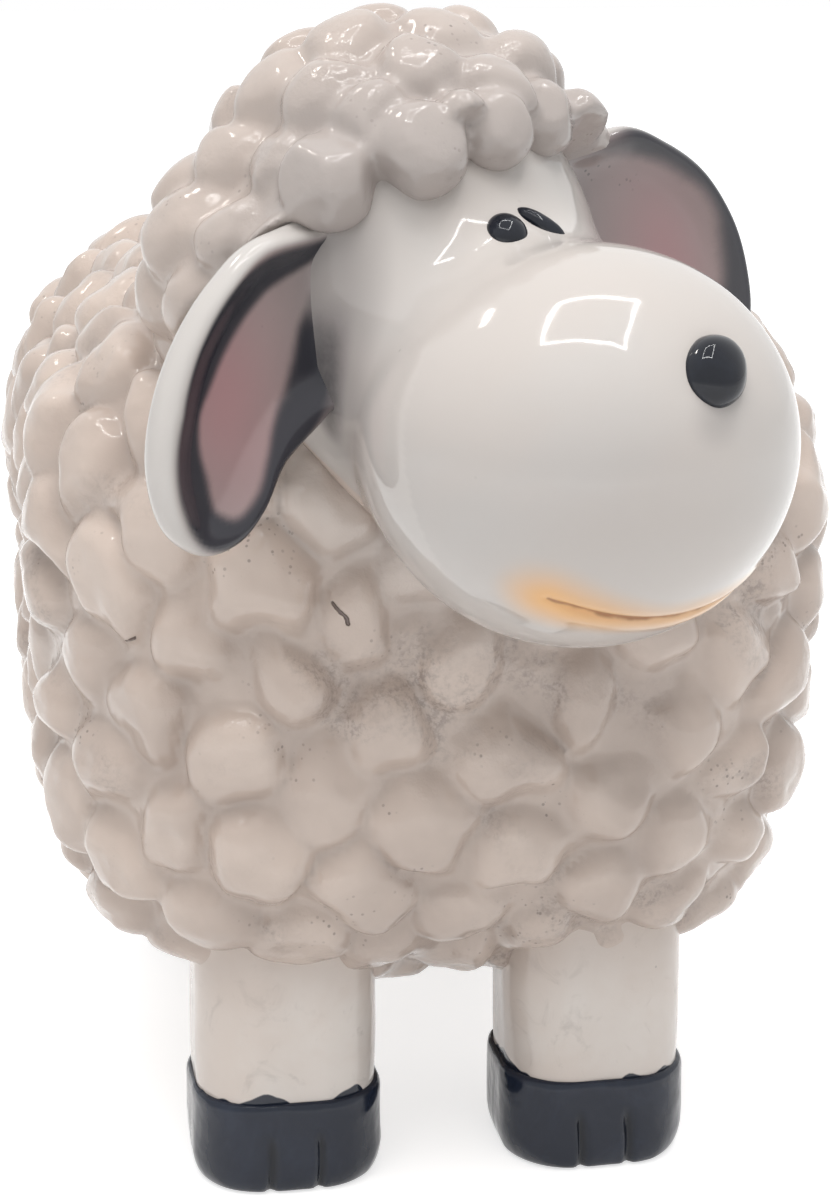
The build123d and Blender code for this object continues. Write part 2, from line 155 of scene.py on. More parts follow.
class SheepColours(bpy.types.PropertyGroup):
    """Paints under the clear glaze; some of them also serve as painted highlights and painted shade."""
    wool: colour("Wool", "Beige-pink of the fleece", (0.505, 0.42, 0.37))
    # Paler wool in random patches, and also the painted highlight on top of the curls
    wool_light: colour("Wool, thin paint", "Thin paint on top of the curls", (0.61, 0.515, 0.455))
    # A grey wash in patches, and also the painted shade in the hollows between the curls
    wool_smudge: colour("Wool smudge", "Grey wash left in the hollows", (0.235, 0.20, 0.185))
    # A greyer wool over the cap, and also the painted shade on its front and brow curls
    wool_dusk: colour("Wool dusk", "Greyish white sprayed over the cap", (0.405, 0.368, 0.352))
    skin: colour("Skin", "White of the face", (0.57, 0.545, 0.525))
    # Grey sprayed round the ears' roots and smudged under the nose, and also the painted shade round the ears'
    # roots, at the back of the skull and on the middle of the muzzle
    skin_shade: colour("Skin shade", "Grey sprayed round the cheeks and the ears' roots", (0.30, 0.275, 0.27))
    mouth_brown: colour("Mouth brown", "Brown brushed into the mouth line", (0.30, 0.125, 0.045))
    mouth_orange: colour("Mouth orange", "Orange sprayed round the mouth", (0.80, 0.44, 0.16))
    ear_pink: colour("Ear pink", "Dusty pink in the middle of the ears", (0.36, 0.21, 0.218))
    ear_grey: colour("Ear grey", "Grey-brown between the pink and the dark rim", (0.30, 0.245, 0.24))
    # Also sprayed onto the cheek along an ear's seam, where it partly stands for painted shade in the join
    ear_dark: colour("Ear dark", "Dark sprayed rim of the ears", (0.020, 0.022, 0.031))
    leg: colour("Leg", "Pinkish white of the legs", (0.70, 0.65, 0.61))
    hoof: colour("Hoof", "Anthracite of the hooves", (0.013, 0.018, 0.032))
    bead: colour("Eyes and nose", "Near-black of the eyes and nose", (0.010, 0.012, 0.018))
    crack: colour("Crack", "Brown that has settled in the cracks of the glaze", (0.075, 0.045, 0.04))
    pit: colour("Pit", "Dark pits in the glaze of the fleece", (0.10, 0.085, 0.08))
    speck: colour("Speck", "Specks in the glaze of the legs", (0.16, 0.145, 0.14))
    groove: colour("Groove", "Dark in the toe grooves", (0.006, 0.007, 0.009))


# Shapes

def turn(axis, radians):
    return Matrix.Rotation(radians, 4, axis)


def moved(points, matrix):
    """An array of points through a matrix."""
    m = np.array(matrix)
    return points @ m[:3, :3].T + m[:3, 3]


def points_of(bm):
    return np.array([v.co for v in bm.verts])


def set_points(bm, points):
    for vert, point in zip(bm.verts, points):
        vert.co = point


def field(bm, name, values):
    """A number kept with every point of the mesh, for its material to read."""
    layer = bm.verts.layers.float.new(name)
    for vert, value in zip(bm.verts, values):
        vert[layer] = value


def finish_piece(bm, name, paint, nodes):
    """Turns a bmesh into a finished piece, painted by a function, that stands for some CAD nodes."""
    bmesh.ops.recalc_face_normals(bm, faces=bm.faces)
    for face in bm.faces:
        face.smooth = True
    mesh = bpy.data.meshes.new(name)
    bm.to_mesh(mesh)
    bm.free()
    piece = bpy.data.objects.new(name, mesh)
    bpy.context.scene.collection.objects.link(piece)
    mesh.materials.append(bpy.data.materials.get(paint.__name__) or paint())
    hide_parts(*nodes)
    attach(piece, "root")


def smooth_union(a, b, width):
    """Two distances made one, with a soft join."""
    near = np.maximum(width - np.abs(a - b), 0) / width
    return np.minimum(a, b) - near ** 2 * width / 4


def smooth_step(low, high, values):
    t = np.clip((values - low) / (high - low), 0, 1)
    return t * t * (3 - 2 * t)


def swell(gap, spread):
    """1 in the middle, and softly less away from it."""
    return np.exp(-(gap / spread) ** 2)


def ripple(points, scale, seed):
    """Slow noise, about -1 to 1."""
    offset = Vector((seed * 7.3, seed * 3.1, seed * 5.7))
    return np.array([noise.noise(Vector(point) / scale + offset) for point in points]) * 2


def waver(points, scale, amount, seed):
    """A slow wandering in all three directions."""
    return np.stack([ripple(points, scale, seed + way) for way in range(3)], axis=1) * amount


def nearest(points, half, radius):
    """The nearest points on a rounded block, and the directions straight out of it there."""
    core = half - radius
    inside = np.clip(points, -core, core)
    out = points - inside
    out = out / np.linalg.norm(out, axis=1)[:, None]
    return inside + radius * out, out


def curl_places(half, radius, pitch):
    """Evenly scattered places over a rounded block, the same ones as in the CAD model."""
    start_share, push_share, stride_share, rounds = 1.3, 0.038, 0.125, 80
    a, b, c = 2 * (half - radius)
    area = 2 * (a * b + b * c + c * a) + 2 * math.pi * radius * (a + b + c) + 4 * math.pi * radius ** 2
    count = round(area / (pitch ** 2 * math.sqrt(3) / 2))
    step = np.arange(count) + 0.5
    polar = np.arccos(1 - 2 * step / count)
    around = math.pi * (1 + math.sqrt(5)) * step
    ball = np.c_[np.cos(around) * np.sin(polar), np.sin(around) * np.sin(polar), np.cos(polar)]
    points, out = nearest(ball * half * start_share, half, radius)
    for _ in range(rounds):
        apart = points[:, None] - points[None]
        square = (apart ** 2).sum(axis=2)
        np.fill_diagonal(square, np.inf)
        push = (apart / square[..., None] ** 2).sum(axis=1) * push_share * pitch ** 4
        size = np.linalg.norm(push, axis=1)[:, None]
        push = push * np.minimum(1, stride_share * pitch / size)
        points, out = nearest(points + push, half, radius)
    return points, out


def curl_relief(points, centres, out, pitch, height, seed, snug=0.5):
    """Height of the hand-modelled curls over each point, and how high on a curl it is, 0 to 1.

    Each curl is a lump with an uneven, soft-cornered outline and a flattish, leaning top.
    """
    random = np.random.default_rng(seed)
    count, sides, corner, belly, top_edge, join = len(centres), 6, 4.5, 2.4, 8.0, 9.0
    spin = random.uniform(0, 2 * math.pi, count)
    uneven = np.arange(sides) + random.uniform(-0.3, 0.3, (count, sides))
    side_angle = spin[:, None] + uneven * 2 * math.pi / sides
    side_out = random.uniform(0.84, 1.14, (count, sides))
    size = random.uniform(-0.08, 0.08, count)
    reach = pitch * (snug + size)
    tall = random.uniform(0.9, 1.08, count) + 1.6 * size
    flat_top = tall * random.uniform(0.72, 0.95, count)
    lean = random.uniform(-0.3, 0.3, (count, 2))
    across = np.cross(out, (0.31, 0.22, 0.925))
    across /= np.linalg.norm(across, axis=1)[:, None]
    along = np.cross(out, across)
    relief = np.zeros(len(points))
    near_count, chunk = min(5, count), 8000
    for start in range(0, len(points), chunk):
        part = points[start:start + chunk]
        apart = part[:, None] - centres[None]
        square = (apart ** 2).sum(axis=2)
        near = np.argpartition(square, near_count - 1, axis=1)[:, :near_count]
        gap = np.take_along_axis(apart, near[..., None], axis=1)
        distance = np.sqrt(np.take_along_axis(square, near, axis=1))
        u = (gap * across[near]).sum(axis=2)
        v = (gap * along[near]).sum(axis=2)
        flat = np.sqrt(u ** 2 + v ** 2) + 1e-9
        u, v = u / flat * distance / reach[near], v / flat * distance / reach[near]
        way = u[..., None] * np.cos(side_angle[near]) + v[..., None] * np.sin(side_angle[near])
        outline = (np.clip(way / side_out[near], 0, None) ** corner).sum(axis=2) ** (1 / corner)
        dome = tall[near] * (1 - outline ** belly)
        plane = flat_top[near] + lean[near, 0] * u + lean[near, 1] * v
        lump = -np.log(np.exp(-top_edge * dome) + np.exp(-top_edge * plane)) / top_edge
        lump = np.clip(lump, -1, None)
        relief[start:start + chunk] = np.log(1 + np.exp(join * lump).sum(axis=1)) / join
    relief = relief - math.log(2) / join
    return relief * height, np.clip(relief, 0, 1)


def soften(bm, values, rounds):
    """Values at the points of a mesh, averaged with their neighbours a few times."""
    bm.verts.index_update()
    pairs = np.array([[vert.index for vert in edge.verts] for edge in bm.edges])
    count = np.bincount(pairs.ravel(), minlength=len(values))
    for _ in range(rounds):
        total = sum(np.bincount(pairs[:, a], values[pairs[:, 1 - a]], len(values)) for a in (0, 1))
        values = (values + total) / (1 + count)
    return values


def head_place():
    """The skull's place: Y goes back, X to the sheep's left, Z up."""
    head = bpy.context.scene.sheep_head
    return Matrix.Translation(head.middle) @ turn("Z", head.turned) @ turn("Y", -head.tilt)


def muzzle_place():
    head = bpy.context.scene.sheep_head
    return head_place() @ Matrix.Translation(head.muzzle_middle) @ turn("X", -head.muzzle_lift)


def head_distance(points):
    """How far each point is outside the skin of the head, less than zero inside it."""
    head = bpy.context.scene.sheep_head
    local = moved(points, head_place().inverted())
    skull = np.linalg.norm(local, axis=1) - head.radius
    jaw = np.linalg.norm(local - np.array(head.jaw_middle), axis=1) - head.jaw_radius
    egg = moved(points, muzzle_place().inverted())
    radii = np.array(head.muzzle_size) / 2
    size = np.linalg.norm(egg / radii, axis=1)
    steep = np.linalg.norm(egg / radii ** 2, axis=1) / np.maximum(size, 1e-6)
    muzzle = (size - 1) / steep
    return smooth_union(smooth_union(skull, muzzle, head.blend), jaw, head.blend)


def on_skin(start, ways):
    """Where rays from inside the head leave its skin."""
    near = np.zeros(len(ways))
    far = np.full(len(ways), 0.12)
    for _ in range(30):
        middle = (near + far) / 2
        outside = head_distance(start + ways * middle[:, None]) > 0
        near = np.where(outside, near, middle)
        far = np.where(outside, middle, far)
    return start + ways * ((near + far) / 2)[:, None]


def skin_normals(points, step=0.0002):
    slopes = [
        head_distance(points + np.array(way) * step) - head_distance(points - np.array(way) * step)
        for way in ((1, 0, 0), (0, 1, 0), (0, 0, 1))
    ]
    normals = np.stack(slopes, axis=1)
    return normals / np.linalg.norm(normals, axis=1)[:, None]


def smooth_line(points, steps, closed=False):
    """Points along a smooth line through the given ones."""
    points = np.array(points, float)
    count = len(points)
    if closed:
        padded = np.concatenate([points[-1:], points, points[:2]])
        spans = count
    else:
        padded = np.concatenate([2 * points[:1] - points[1:2], points, 2 * points[-1:] - points[-2:-1]])
        spans = count - 1
    line = []
    for span in range(spans):
        p0, p1, p2, p3 = padded[span:span + 4]
        for t in np.arange(steps) / steps:
            line.append(
                0.5 * (2 * p1 + (p2 - p0) * t + (2 * p0 - 5 * p1 + 4 * p2 - p3) * t ** 2
                       + (3 * p1 - p0 - 3 * p2 + p3) * t ** 3)
            )
    if not closed:
        line.append(points[-1])
    return np.array(line)


def mouth_line():
    """Points of the mouth line on the skin."""
    head = bpy.context.scene.sheep_head
    base = muzzle_place()
    around = np.linspace(-0.5, 0.5, 97) * head.mouth_arc
    down = head.mouth_slope
    ways = np.c_[np.sin(around), -np.cos(around) * math.cos(down), -np.cos(around) * math.sin(down)]
    ways = moved(ways, base.to_3x3().to_4x4())
    return on_skin(np.array(base.translation), ways)


def distance_to_line(points, line):
    """Distance of each point from a line of points, and how far along it the nearest place is, 0 to 1."""
    a, b = line[:-1], line[1:]
    run = b - a
    best = np.full(len(points), np.inf)
    way = np.zeros(len(points))
    for i in range(len(a)):
        t = np.clip(((points - a[i]) @ run[i]) / (run[i] @ run[i]), 0, 1)
        gap = np.linalg.norm(points - a[i] - t[:, None] * run[i], axis=1)
        closer = gap < best
        best = np.where(closer, gap, best)
        way = np.where(closer, (i + t) / len(a), way)
    return best, way


# Materials

GLAZE_IOR, THIN_GLAZE_IOR = 1.48, 1.40


class Paint:
    """A node material, built a few nodes at a time."""

    def __init__(self, name):
        self.material = bpy.data.materials.new(name)
        self.material.use_nodes = True
        self.nodes = self.material.node_tree.nodes
        self.links = self.material.node_tree.links
        self.shader = self.nodes["Principled BSDF"]
        self.place = self.nodes.new("ShaderNodeTexCoord").outputs["Object"]

    def value(self, node, socket, source):
        target = node.inputs[socket]
        if isinstance(source, bpy.types.NodeSocket):
            self.links.new(source, target)
        elif hasattr(source, "__len__") and len(source) == 3 and target.type == "RGBA":
            target.default_value = (*source, 1)
        else:
            target.default_value = source

    def noise(self, scale, detail=3.0, roughness=0.55, distortion=0.0):
        node = self.nodes.new("ShaderNodeTexNoise")
        self.value(node, "Vector", self.place)
        for socket, number in (
            ("Scale", scale), ("Detail", detail), ("Roughness", roughness), ("Distortion", distortion),
        ):
            node.inputs[socket].default_value = number
        return node.outputs["Fac"]

    def field(self, name):
        node = self.nodes.new("ShaderNodeAttribute")
        node.attribute_name = name
        return node.outputs["Fac"]

    def math(self, operation, a, b=0.0, clamp=False):
        node = self.nodes.new("ShaderNodeMath")
        node.operation = operation
        node.use_clamp = clamp
        self.value(node, 0, a)
        self.value(node, 1, b)
        return node.outputs[0]

    def times(self, a, b, clamp=False):
        return self.math("MULTIPLY", a, b, clamp)

    def ramp(self, source, low, high, start=0.0, end=1.0):
        """Runs from start to end, softly, as the source goes from low to high."""
        node = self.nodes.new("ShaderNodeMapRange")
        node.interpolation_type = "SMOOTHSTEP"
        self.links.new(source, node.inputs["Value"])
        for socket, number in (("From Min", low), ("From Max", high), ("To Min", start), ("To Max", end)):
            node.inputs[socket].default_value = number
        return node.outputs["Result"]

    def mix(self, amount, a, b, share=1.0):
        """Colour a, with b over it by an amount from 0 to 1, or a share of that."""
        node = self.nodes.new("ShaderNodeMix")
        node.data_type = "RGBA"
        self.value(node, 0, amount if share == 1.0 else self.times(amount, share))
        self.value(node, 6, a)
        self.value(node, 7, b)
        return node.outputs[2]

    def bump(self, height, strength, distance, normal=None):
        node = self.nodes.new("ShaderNodeBump")
        node.inputs["Strength"].default_value = strength
        node.inputs["Distance"].default_value = distance
        self.links.new(height, node.inputs["Height"])
        if normal:
            self.links.new(normal, node.inputs["Normal"])
        return node.outputs["Normal"]

    def crack(self, start, end, width):
        """A short ragged crack between two places, seen along Y."""
        start, end = Vector(start), Vector(end)
        wander = self.nodes.new("ShaderNodeTexNoise")
        wander.inputs["Scale"].default_value = 650
        self.links.new(self.place, wander.inputs["Vector"])

        def vector(operation, a, b=None, scale=None):
            node = self.nodes.new("ShaderNodeVectorMath")
            node.operation = operation
            self.value(node, 0, a)
            if b is not None:
                self.value(node, 1, b)
            if scale is not None:
                self.value(node, "Scale", scale)
            return node.outputs["Value" if operation in ("DOT_PRODUCT", "LENGTH") else "Vector"]

        shift = vector("SCALE", vector("SUBTRACT", wander.outputs["Color"], (0.5, 0.5, 0.5)), scale=0.0007)
        gap = vector("SUBTRACT", vector("ADD", self.place, shift), tuple(start))
        gap = vector("MULTIPLY", gap, (1, 0.15, 1))
        run = Vector(((end - start).x, 0, (end - start).z))
        along = self.math("MULTIPLY", vector("DOT_PRODUCT", gap, tuple(run)), 1 / run.length_squared, True)
        off = vector("SUBTRACT", gap, vector("SCALE", tuple(run), scale=along))
        return self.ramp(vector("LENGTH", off), width * 0.4, width, 1.0, 0.0)

    def glaze(self, base, roughness, normal, ior=GLAZE_IOR):
        """The clear fired glaze over the paint."""
        self.value(self.shader, "Base Color", base)
        self.value(self.shader, "Roughness", roughness)
        self.value(self.shader, "Normal", normal)
        self.shader.inputs["IOR"].default_value = ior
        return self.material


def glaze_normal(paint, wave=0.00022, grain=0.00003, wave_scale=95):
    """Slow waves of the thick glaze, and the fine orange peel in it."""
    waves = paint.bump(paint.noise(wave_scale, 2.0, 0.5), 1.0, wave)
    return paint.bump(paint.noise(1500, 2.0, 0.6), 0.6, grain, waves)


def pinholes(paint, scale, size, amount):
    """Small dark pits in the glaze, in clusters."""
    cells = paint.nodes.new("ShaderNodeTexVoronoi")
    paint.value(cells, "Vector", paint.place)
    cells.inputs["Scale"].default_value = scale
    dots = paint.ramp(cells.outputs["Distance"], size * 0.5, size, 1.0, 0.0)
    cluster = paint.ramp(paint.noise(70, 3.0, 0.6), 0.60 - amount, 0.72 - amount)
    return paint.times(dots, cluster)


# Two small cracks in the front of the fleece, from one end to the other
CRACKS = (
    (
        (-0.0460, -0.0496, 0.0927), (-0.0471, -0.0456, 0.0905), (-0.0484, -0.0447, 0.0896),
        (-0.0493, -0.0432, 0.0875),
    ),
    (
        (-0.0197, -0.0563, 0.0971), (-0.0190, -0.0566, 0.0961), (-0.0181, -0.0568, 0.0953),
        (-0.0176, -0.0570, 0.0941),
    ),
)
CRACK_WIDTH, CRACK_DEPTH = 0.0003, 0.0004


def painted_wool():
    """Beige-pink, paler on the crests as a painted highlight and darker in the hollows as painted shade, with a grey
    wash in patches and two cracks.
    """
    colours = bpy.context.scene.sheep_colours
    paint = Paint("painted_wool")
    crest = paint.field("crest")
    drift = paint.noise(55, 3.0, 0.5, 0.3)
    base = paint.mix(paint.ramp(drift, 0.3, 0.7), colours.wool, colours.wool_light)
    # Painted highlight: the tops of the curls paler, as if lit from above
    base = paint.mix(paint.ramp(crest, 0.5, 1.0), base, colours.wool_light, 0.32)
    patch = paint.ramp(paint.noise(48, 2.0, 0.5, 0.4), 0.53, 0.68)
    patch = paint.times(patch, paint.ramp(crest, 0.2, 0.9, 1.0, 0.35))
    speckle = paint.ramp(paint.noise(1150, 3.0, 0.7), 0.42, 0.62, 0.25, 1.0)
    brushed = paint.ramp(paint.noise(330, 3.0, 0.6, 0.8), 0.36, 0.64, 0.3, 1.0)
    wash = paint.times(patch, paint.times(speckle, brushed))
    base = paint.mix(wash, base, colours.wool_smudge, 0.62)
    # Painted shade: the hollows between the curls darker
    valley_shade = paint.ramp(crest, 0.02, 0.55, 1.0, 0.0)
    base = paint.mix(valley_shade, base, colours.wool_smudge, 0.14)
    # Painted shade and a greyer tone over the cap, strongest on its front
    base = paint.mix(paint.field("cap_grey_and_shade"), base, colours.wool_dusk)
    base = paint.mix(paint.field("overspray"), base, colours.skin)
    base = paint.mix(pinholes(paint, 820, 0.26, 0.04), base, colours.pit, 0.5)
    normal = glaze_normal(paint, 0.00045, 0.00003, 150)
    crumbs = paint.times(paint.noise(430, 3.0, 0.6), paint.ramp(paint.noise(95, 2.0), 0.42, 0.62))
    normal = paint.bump(crumbs, 1.0, 0.00022, normal)
    for line in CRACKS:
        crack = 0.0
        for start, end in zip(line, line[1:]):
            crack = paint.math("MAXIMUM", paint.crack(start, end, CRACK_WIDTH), crack)
        base = paint.mix(crack, base, colours.crack, 0.85)
        normal = paint.bump(paint.times(crack, -1.0), 1.0, CRACK_DEPTH, normal)
    return paint.glaze(base, paint.ramp(drift, 0.3, 0.7, 0.09, 0.17), normal)


def painted_face():
    """White, with grey sprayed round the ears' roots and painted shade there, at the back of the skull and on the
    middle of the muzzle, and orange round the mouth.
    """
    colours = bpy.context.scene.sheep_colours
    paint = Paint("painted_face")
    cloud = paint.noise(28, 3.0, 0.55, 0.3)
    base = paint.mix(paint.ramp(cloud, 0.35, 0.68, 0.0, 0.22), colours.skin, colours.wool_light)
    # Grey: sprayed at the ears' roots and under the nose, and painted shade round the ears' roots, at the back of
    # the skull and on the muzzle
    base = paint.mix(paint.field("shade"), base, colours.skin_shade, 0.8)
    base = paint.mix(paint.field("woolly"), base, colours.wool_light)
    # Dark sprayed along an ear's seam, partly painted shade in the join
    mist = paint.ramp(paint.noise(300, 4.0, 0.65), 0.3, 0.7, -0.12, 0.12)
    seam_dark_and_shade = paint.times(paint.field("seam_dark_and_shade"), paint.math("ADD", mist, 0.95), True)
    base = paint.mix(seam_dark_and_shade, base, colours.ear_dark)
    gap = paint.field("mouth_gap")
    way = paint.field("mouth_way")
    corner = paint.ramp(way, 0.0, 0.5, 1.0, 0.0)
    spray_gap = paint.math("ADD", gap, paint.ramp(cloud, 0.3, 0.7, -0.001, 0.001))
    spray_gap = paint.math("DIVIDE", spray_gap, paint.ramp(way, 0.0, 0.4, 1.0, 0.66))
    spray = paint.ramp(spray_gap, 0.0003, 0.0084, 1.0, 0.0)
    spray = paint.times(spray, paint.ramp(corner, 0.0, 1.0, 0.72, 0.92))
    base = paint.mix(spray, base, colours.mouth_orange)
    jitter = paint.ramp(paint.noise(260, 2.0, 0.5), 0.3, 0.7, -0.00014, 0.00014)
    width = paint.ramp(way, 0.0, 0.3, 0.00005, 0.00038)
    line = paint.math("SUBTRACT", paint.math("ADD", gap, jitter), width)
    base = paint.mix(paint.ramp(line, -0.0001, 0.00035, 1.0, 0.0), base, colours.mouth_brown, 0.85)
    base = paint.mix(pinholes(paint, 430, 0.16, -0.02), base, colours.skin_shade, 0.5)
    normal = glaze_normal(paint, 0.0003, 0.000006, 60)
    return paint.glaze(base, paint.ramp(cloud, 0.3, 0.7, 0.05, 0.09), normal)


def painted_ear():
    """White back and rim, dark sprayed band inside the rim, dusty pink middle."""
    colours = bpy.context.scene.sheep_colours
    paint = Paint("painted_ear")
    base = paint.mix(paint.field("pink"), colours.ear_grey, colours.ear_pink)
    base = paint.mix(paint.field("root"), base, colours.skin_shade)
    mist = paint.ramp(paint.noise(300, 4.0, 0.65), 0.3, 0.7, -0.06, 0.06)
    dark = paint.field("dark")
    dark = paint.math("ADD", dark, paint.times(mist, paint.math("SUBTRACT", 1.0, dark)), True)
    base = paint.mix(paint.ramp(dark, 0.06, 1.0), base, colours.ear_dark, 0.97)
    base = paint.mix(paint.field("white"), base, colours.skin)
    base = paint.mix(paint.field("front"), colours.skin, base)
    base = paint.mix(pinholes(paint, 700, 0.22, 0.02), base, colours.ear_dark, 0.5)
    normal = glaze_normal(paint, 0.00022, 0.00001, 90)
    return paint.glaze(base, paint.ramp(paint.noise(60), 0.3, 0.7, 0.10, 0.18), normal)


def painted_leg():
    """Pinkish white, with the dark paint of the hoof ending in a brushed, uneven edge."""
    colours = bpy.context.scene.sheep_colours
    paint = Paint("painted_leg")
    cloud = paint.noise(45, 4.0, 0.6, 0.4)
    base = paint.mix(paint.ramp(cloud, 0.35, 0.7, 0.0, 0.5), colours.leg, colours.wool_light)
    smear = paint.ramp(paint.noise(150, 4.0, 0.65, 1.0), 0.55, 0.75)
    base = paint.mix(smear, base, colours.wool_smudge, 0.22)
    base = paint.mix(paint.field("top"), base, colours.wool, 0.5)
    ragged = paint.math("ADD", paint.field("above_dip"), paint.ramp(cloud, 0.3, 0.7, -0.0002, 0.0002))
    base = paint.mix(paint.ramp(ragged, -0.00016, 0.00016, 1.0, 0.0), base, colours.hoof)
    base = paint.mix(pinholes(paint, 620, 0.16, 0.0), base, colours.speck)
    normal = glaze_normal(paint, 0.00035, 0.00002, 110)
    return paint.glaze(base, paint.ramp(cloud, 0.3, 0.7, 0.08, 0.14), normal)


def painted_hoof():
    """Anthracite, a little worn."""
    colours = bpy.context.scene.sheep_colours
    paint = Paint("painted_hoof")
    cloud = paint.noise(90, 4.0, 0.6, 0.5)
    worn = tuple(2.1 * part + 0.006 for part in colours.hoof)
    base = paint.mix(paint.ramp(cloud, 0.45, 0.75, 0.0, 0.35), colours.hoof, worn)
    base = paint.mix(paint.field("groove"), base, colours.groove, 0.75)
    normal = glaze_normal(paint, 0.0004, 0.00003, 150)
    return paint.glaze(base, paint.ramp(cloud, 0.3, 0.7, 0.10, 0.20), normal, THIN_GLAZE_IOR)


def black_bead():
    """Near-black under a smooth glaze."""
    colours = bpy.context.scene.sheep_colours
    paint = Paint("black_bead")
    cloud = paint.noise(220, 3.0, 0.6)
    worn = tuple(1.8 * part for part in colours.bead)
    base = paint.mix(paint.ramp(cloud, 0.4, 0.7, 0.0, 0.5), colours.bead, worn)
    normal = glaze_normal(paint, 0.00004, 0.000003, 260)
    return paint.glaze(base, paint.ramp(cloud, 0.3, 0.7, 0.03, 0.07), normal, THIN_GLAZE_IOR)


# Pieces

def rounded_block(half, radius, cuts):
    """A cube divided evenly and laid on a rounded block. Also gives the directions straight out of it."""
    bm = bmesh.new()
    bmesh.ops.create_cube(bm, size=2)
    bmesh.ops.subdivide_edges(bm, edges=bm.edges, cuts=cuts, use_grid_fill=True)
    points, out = nearest(points_of(bm) * half, half, radius)
    return bm, points, out


# Unevenness of the fleece: height, size and seed of each ripple
FLEECE_RIPPLES = ((0.0004, 0.0062, 8), (0.00016, 0.003, 9))
# Where the fleece stands further to the sheep's left or right than a block: how far, its heights, and the
# places across where that comes in. A swell has its middle and spread as heights, a step its start and end.
FLEECE_SHIFTS = (
    (0.0020, "step", (0.118, 0.085), (0.0, -0.04)),
    (0.0014, "swell", (0.108, 0.022), (0.0, 0.04)),
    (-0.0016, "step", (0.080, 0.062), (0.0, 0.04)),
    (0.0022, "swell", (0.037, 0.008), (0.02, 0.05)),
    (-0.0022, "swell", (0.037, 0.008), (-0.02, -0.05)),
)
HEM_RISE = 0.0022           # how far the fleece's lowest edge is drawn up on both sides
FACE_OVERSPRAY = 0.014      # how far the face's white goes on over the fleece


class SHEEP_OT_fleece(bpy.types.Operator):
    """Make the trunk's fleece, a rounded block covered in hand-modelled curls"""
    bl_idname = "sheep.fleece"
    bl_label = "Fleece"

    def execute(self, context):
        sizes = context.scene.sheep_fleece
        half = np.array(sizes.trunk_size) / 2
        centres, centre_out = curl_places(half, sizes.trunk_round, sizes.curl_pitch)
        bm, points, out = rounded_block(half, sizes.trunk_round, 112)
        relief, crest = curl_relief(
            points + waver(points, 0.010, 0.0017, 1), centres, centre_out, sizes.curl_pitch, sizes.curl_height, 11,
        )
        relief = relief * (1 - 0.35 * smooth_step(-0.5, -0.98, out[:, 2]))
        for height, scale, seed in FLEECE_RIPPLES:
            relief = relief + height * ripple(points, scale, seed)
        finished = points + np.array(sizes.trunk_middle) + out * relief[:, None]
        side, up = finished[:, 0].copy(), finished[:, 2].copy()
        for shift, kind, (a, b), (start, end) in FLEECE_SHIFTS:
            band = smooth_step(a, b, up) if kind == "step" else swell(up - a, b)
            finished[:, 0] += shift * band * smooth_step(start, end, side)
        finished[:, 2] += HEM_RISE * smooth_step(0.042, 0.030, up) * smooth_step(0.022, 0.05, np.abs(side))
        set_points(bm, finished)
        field(bm, "crest", crest)
        field(bm, "overspray", smooth_step(FACE_OVERSPRAY, 0.0, head_distance(finished)) * 0.5)
        finish_piece(bm, "fleece", painted_wool, ("fleece_body",))
        return {"FINISHED"}


# Where the cap stands out more or less than a ball, in mm, seen from the skull, and how wide each place is
CAP_SWELLS = (
    ((-0.83, 0.07, 0.56), -4.2), ((-0.985, 0.09, 0.14), 1.6), ((0.42, -0.06, 0.90), 2.4),
    ((-0.47, 0.45, 0.76), -0.9), ((-0.36, 0.30, 0.88), 1.5), ((-0.80, 0.58, -0.02), 3.8),
)
CAP_SWELL_WIDTH = math.radians(22)
# The curls along the brow: steps round from the middle, rise in mm, share of the radius
FORELOCK_CURLS = (
    (-2.12, -0.3, 1.0), (-1.0, -0.6, 0.98), (0.0, -0.2, 0.82), (0.95, 1.3, 0.82), (1.8, 3.0, 0.66),
)
CREASE_WIDTH, CREASE_DEPTH = 0.0035, 0.0014     # between the brow curls and the cap behind them
CAP_VOXEL = 0.00072


def faceted_ball(random):
    """A unit ball with a few flattened sides."""
    bm = bmesh.new()
    bmesh.ops.create_icosphere(bm, subdivisions=5, radius=1)
    ways = points_of(bm)
    planes = []
    for index in range(9):
        tall = random.uniform(-0.5, 0.85)
        spin = random.uniform(0, 2 * math.pi) if index else 0
        flat = math.sqrt(1 - tall ** 2)
        side = np.array((flat * math.cos(spin), flat * math.sin(spin), tall))
        planes.append((ways @ side) / random.uniform(0.84, 0.96))
    faceted = 1 / np.maximum(np.stack(planes).max(axis=0), 1 / 1.1)
    return bm, ways * (0.15 + 0.85 * faceted)[:, None]


def merged(bm, voxel_size):
    """Overlapping closed forms as one skin."""
    raw = bpy.data.meshes.new("raw")
    bm.to_mesh(raw)
    bm.free()
    holder = bpy.data.objects.new("raw", raw)
    bpy.context.scene.collection.objects.link(holder)
    remesh = holder.modifiers.new("merge", "REMESH")
    remesh.mode = "VOXEL"
    remesh.voxel_size = voxel_size
    skin = bpy.data.meshes.new_from_object(holder.evaluated_get(bpy.context.evaluated_depsgraph_get()))
    bm = bmesh.new()
    bm.from_mesh(skin)
    bpy.data.objects.remove(holder)
    for mesh in (raw, skin):
        bpy.data.meshes.remove(mesh)
    for _ in range(2):
        bmesh.ops.smooth_vert(bm, verts=bm.verts, factor=0.5, use_axis_x=True, use_axis_y=True, use_axis_z=True)
    return bm


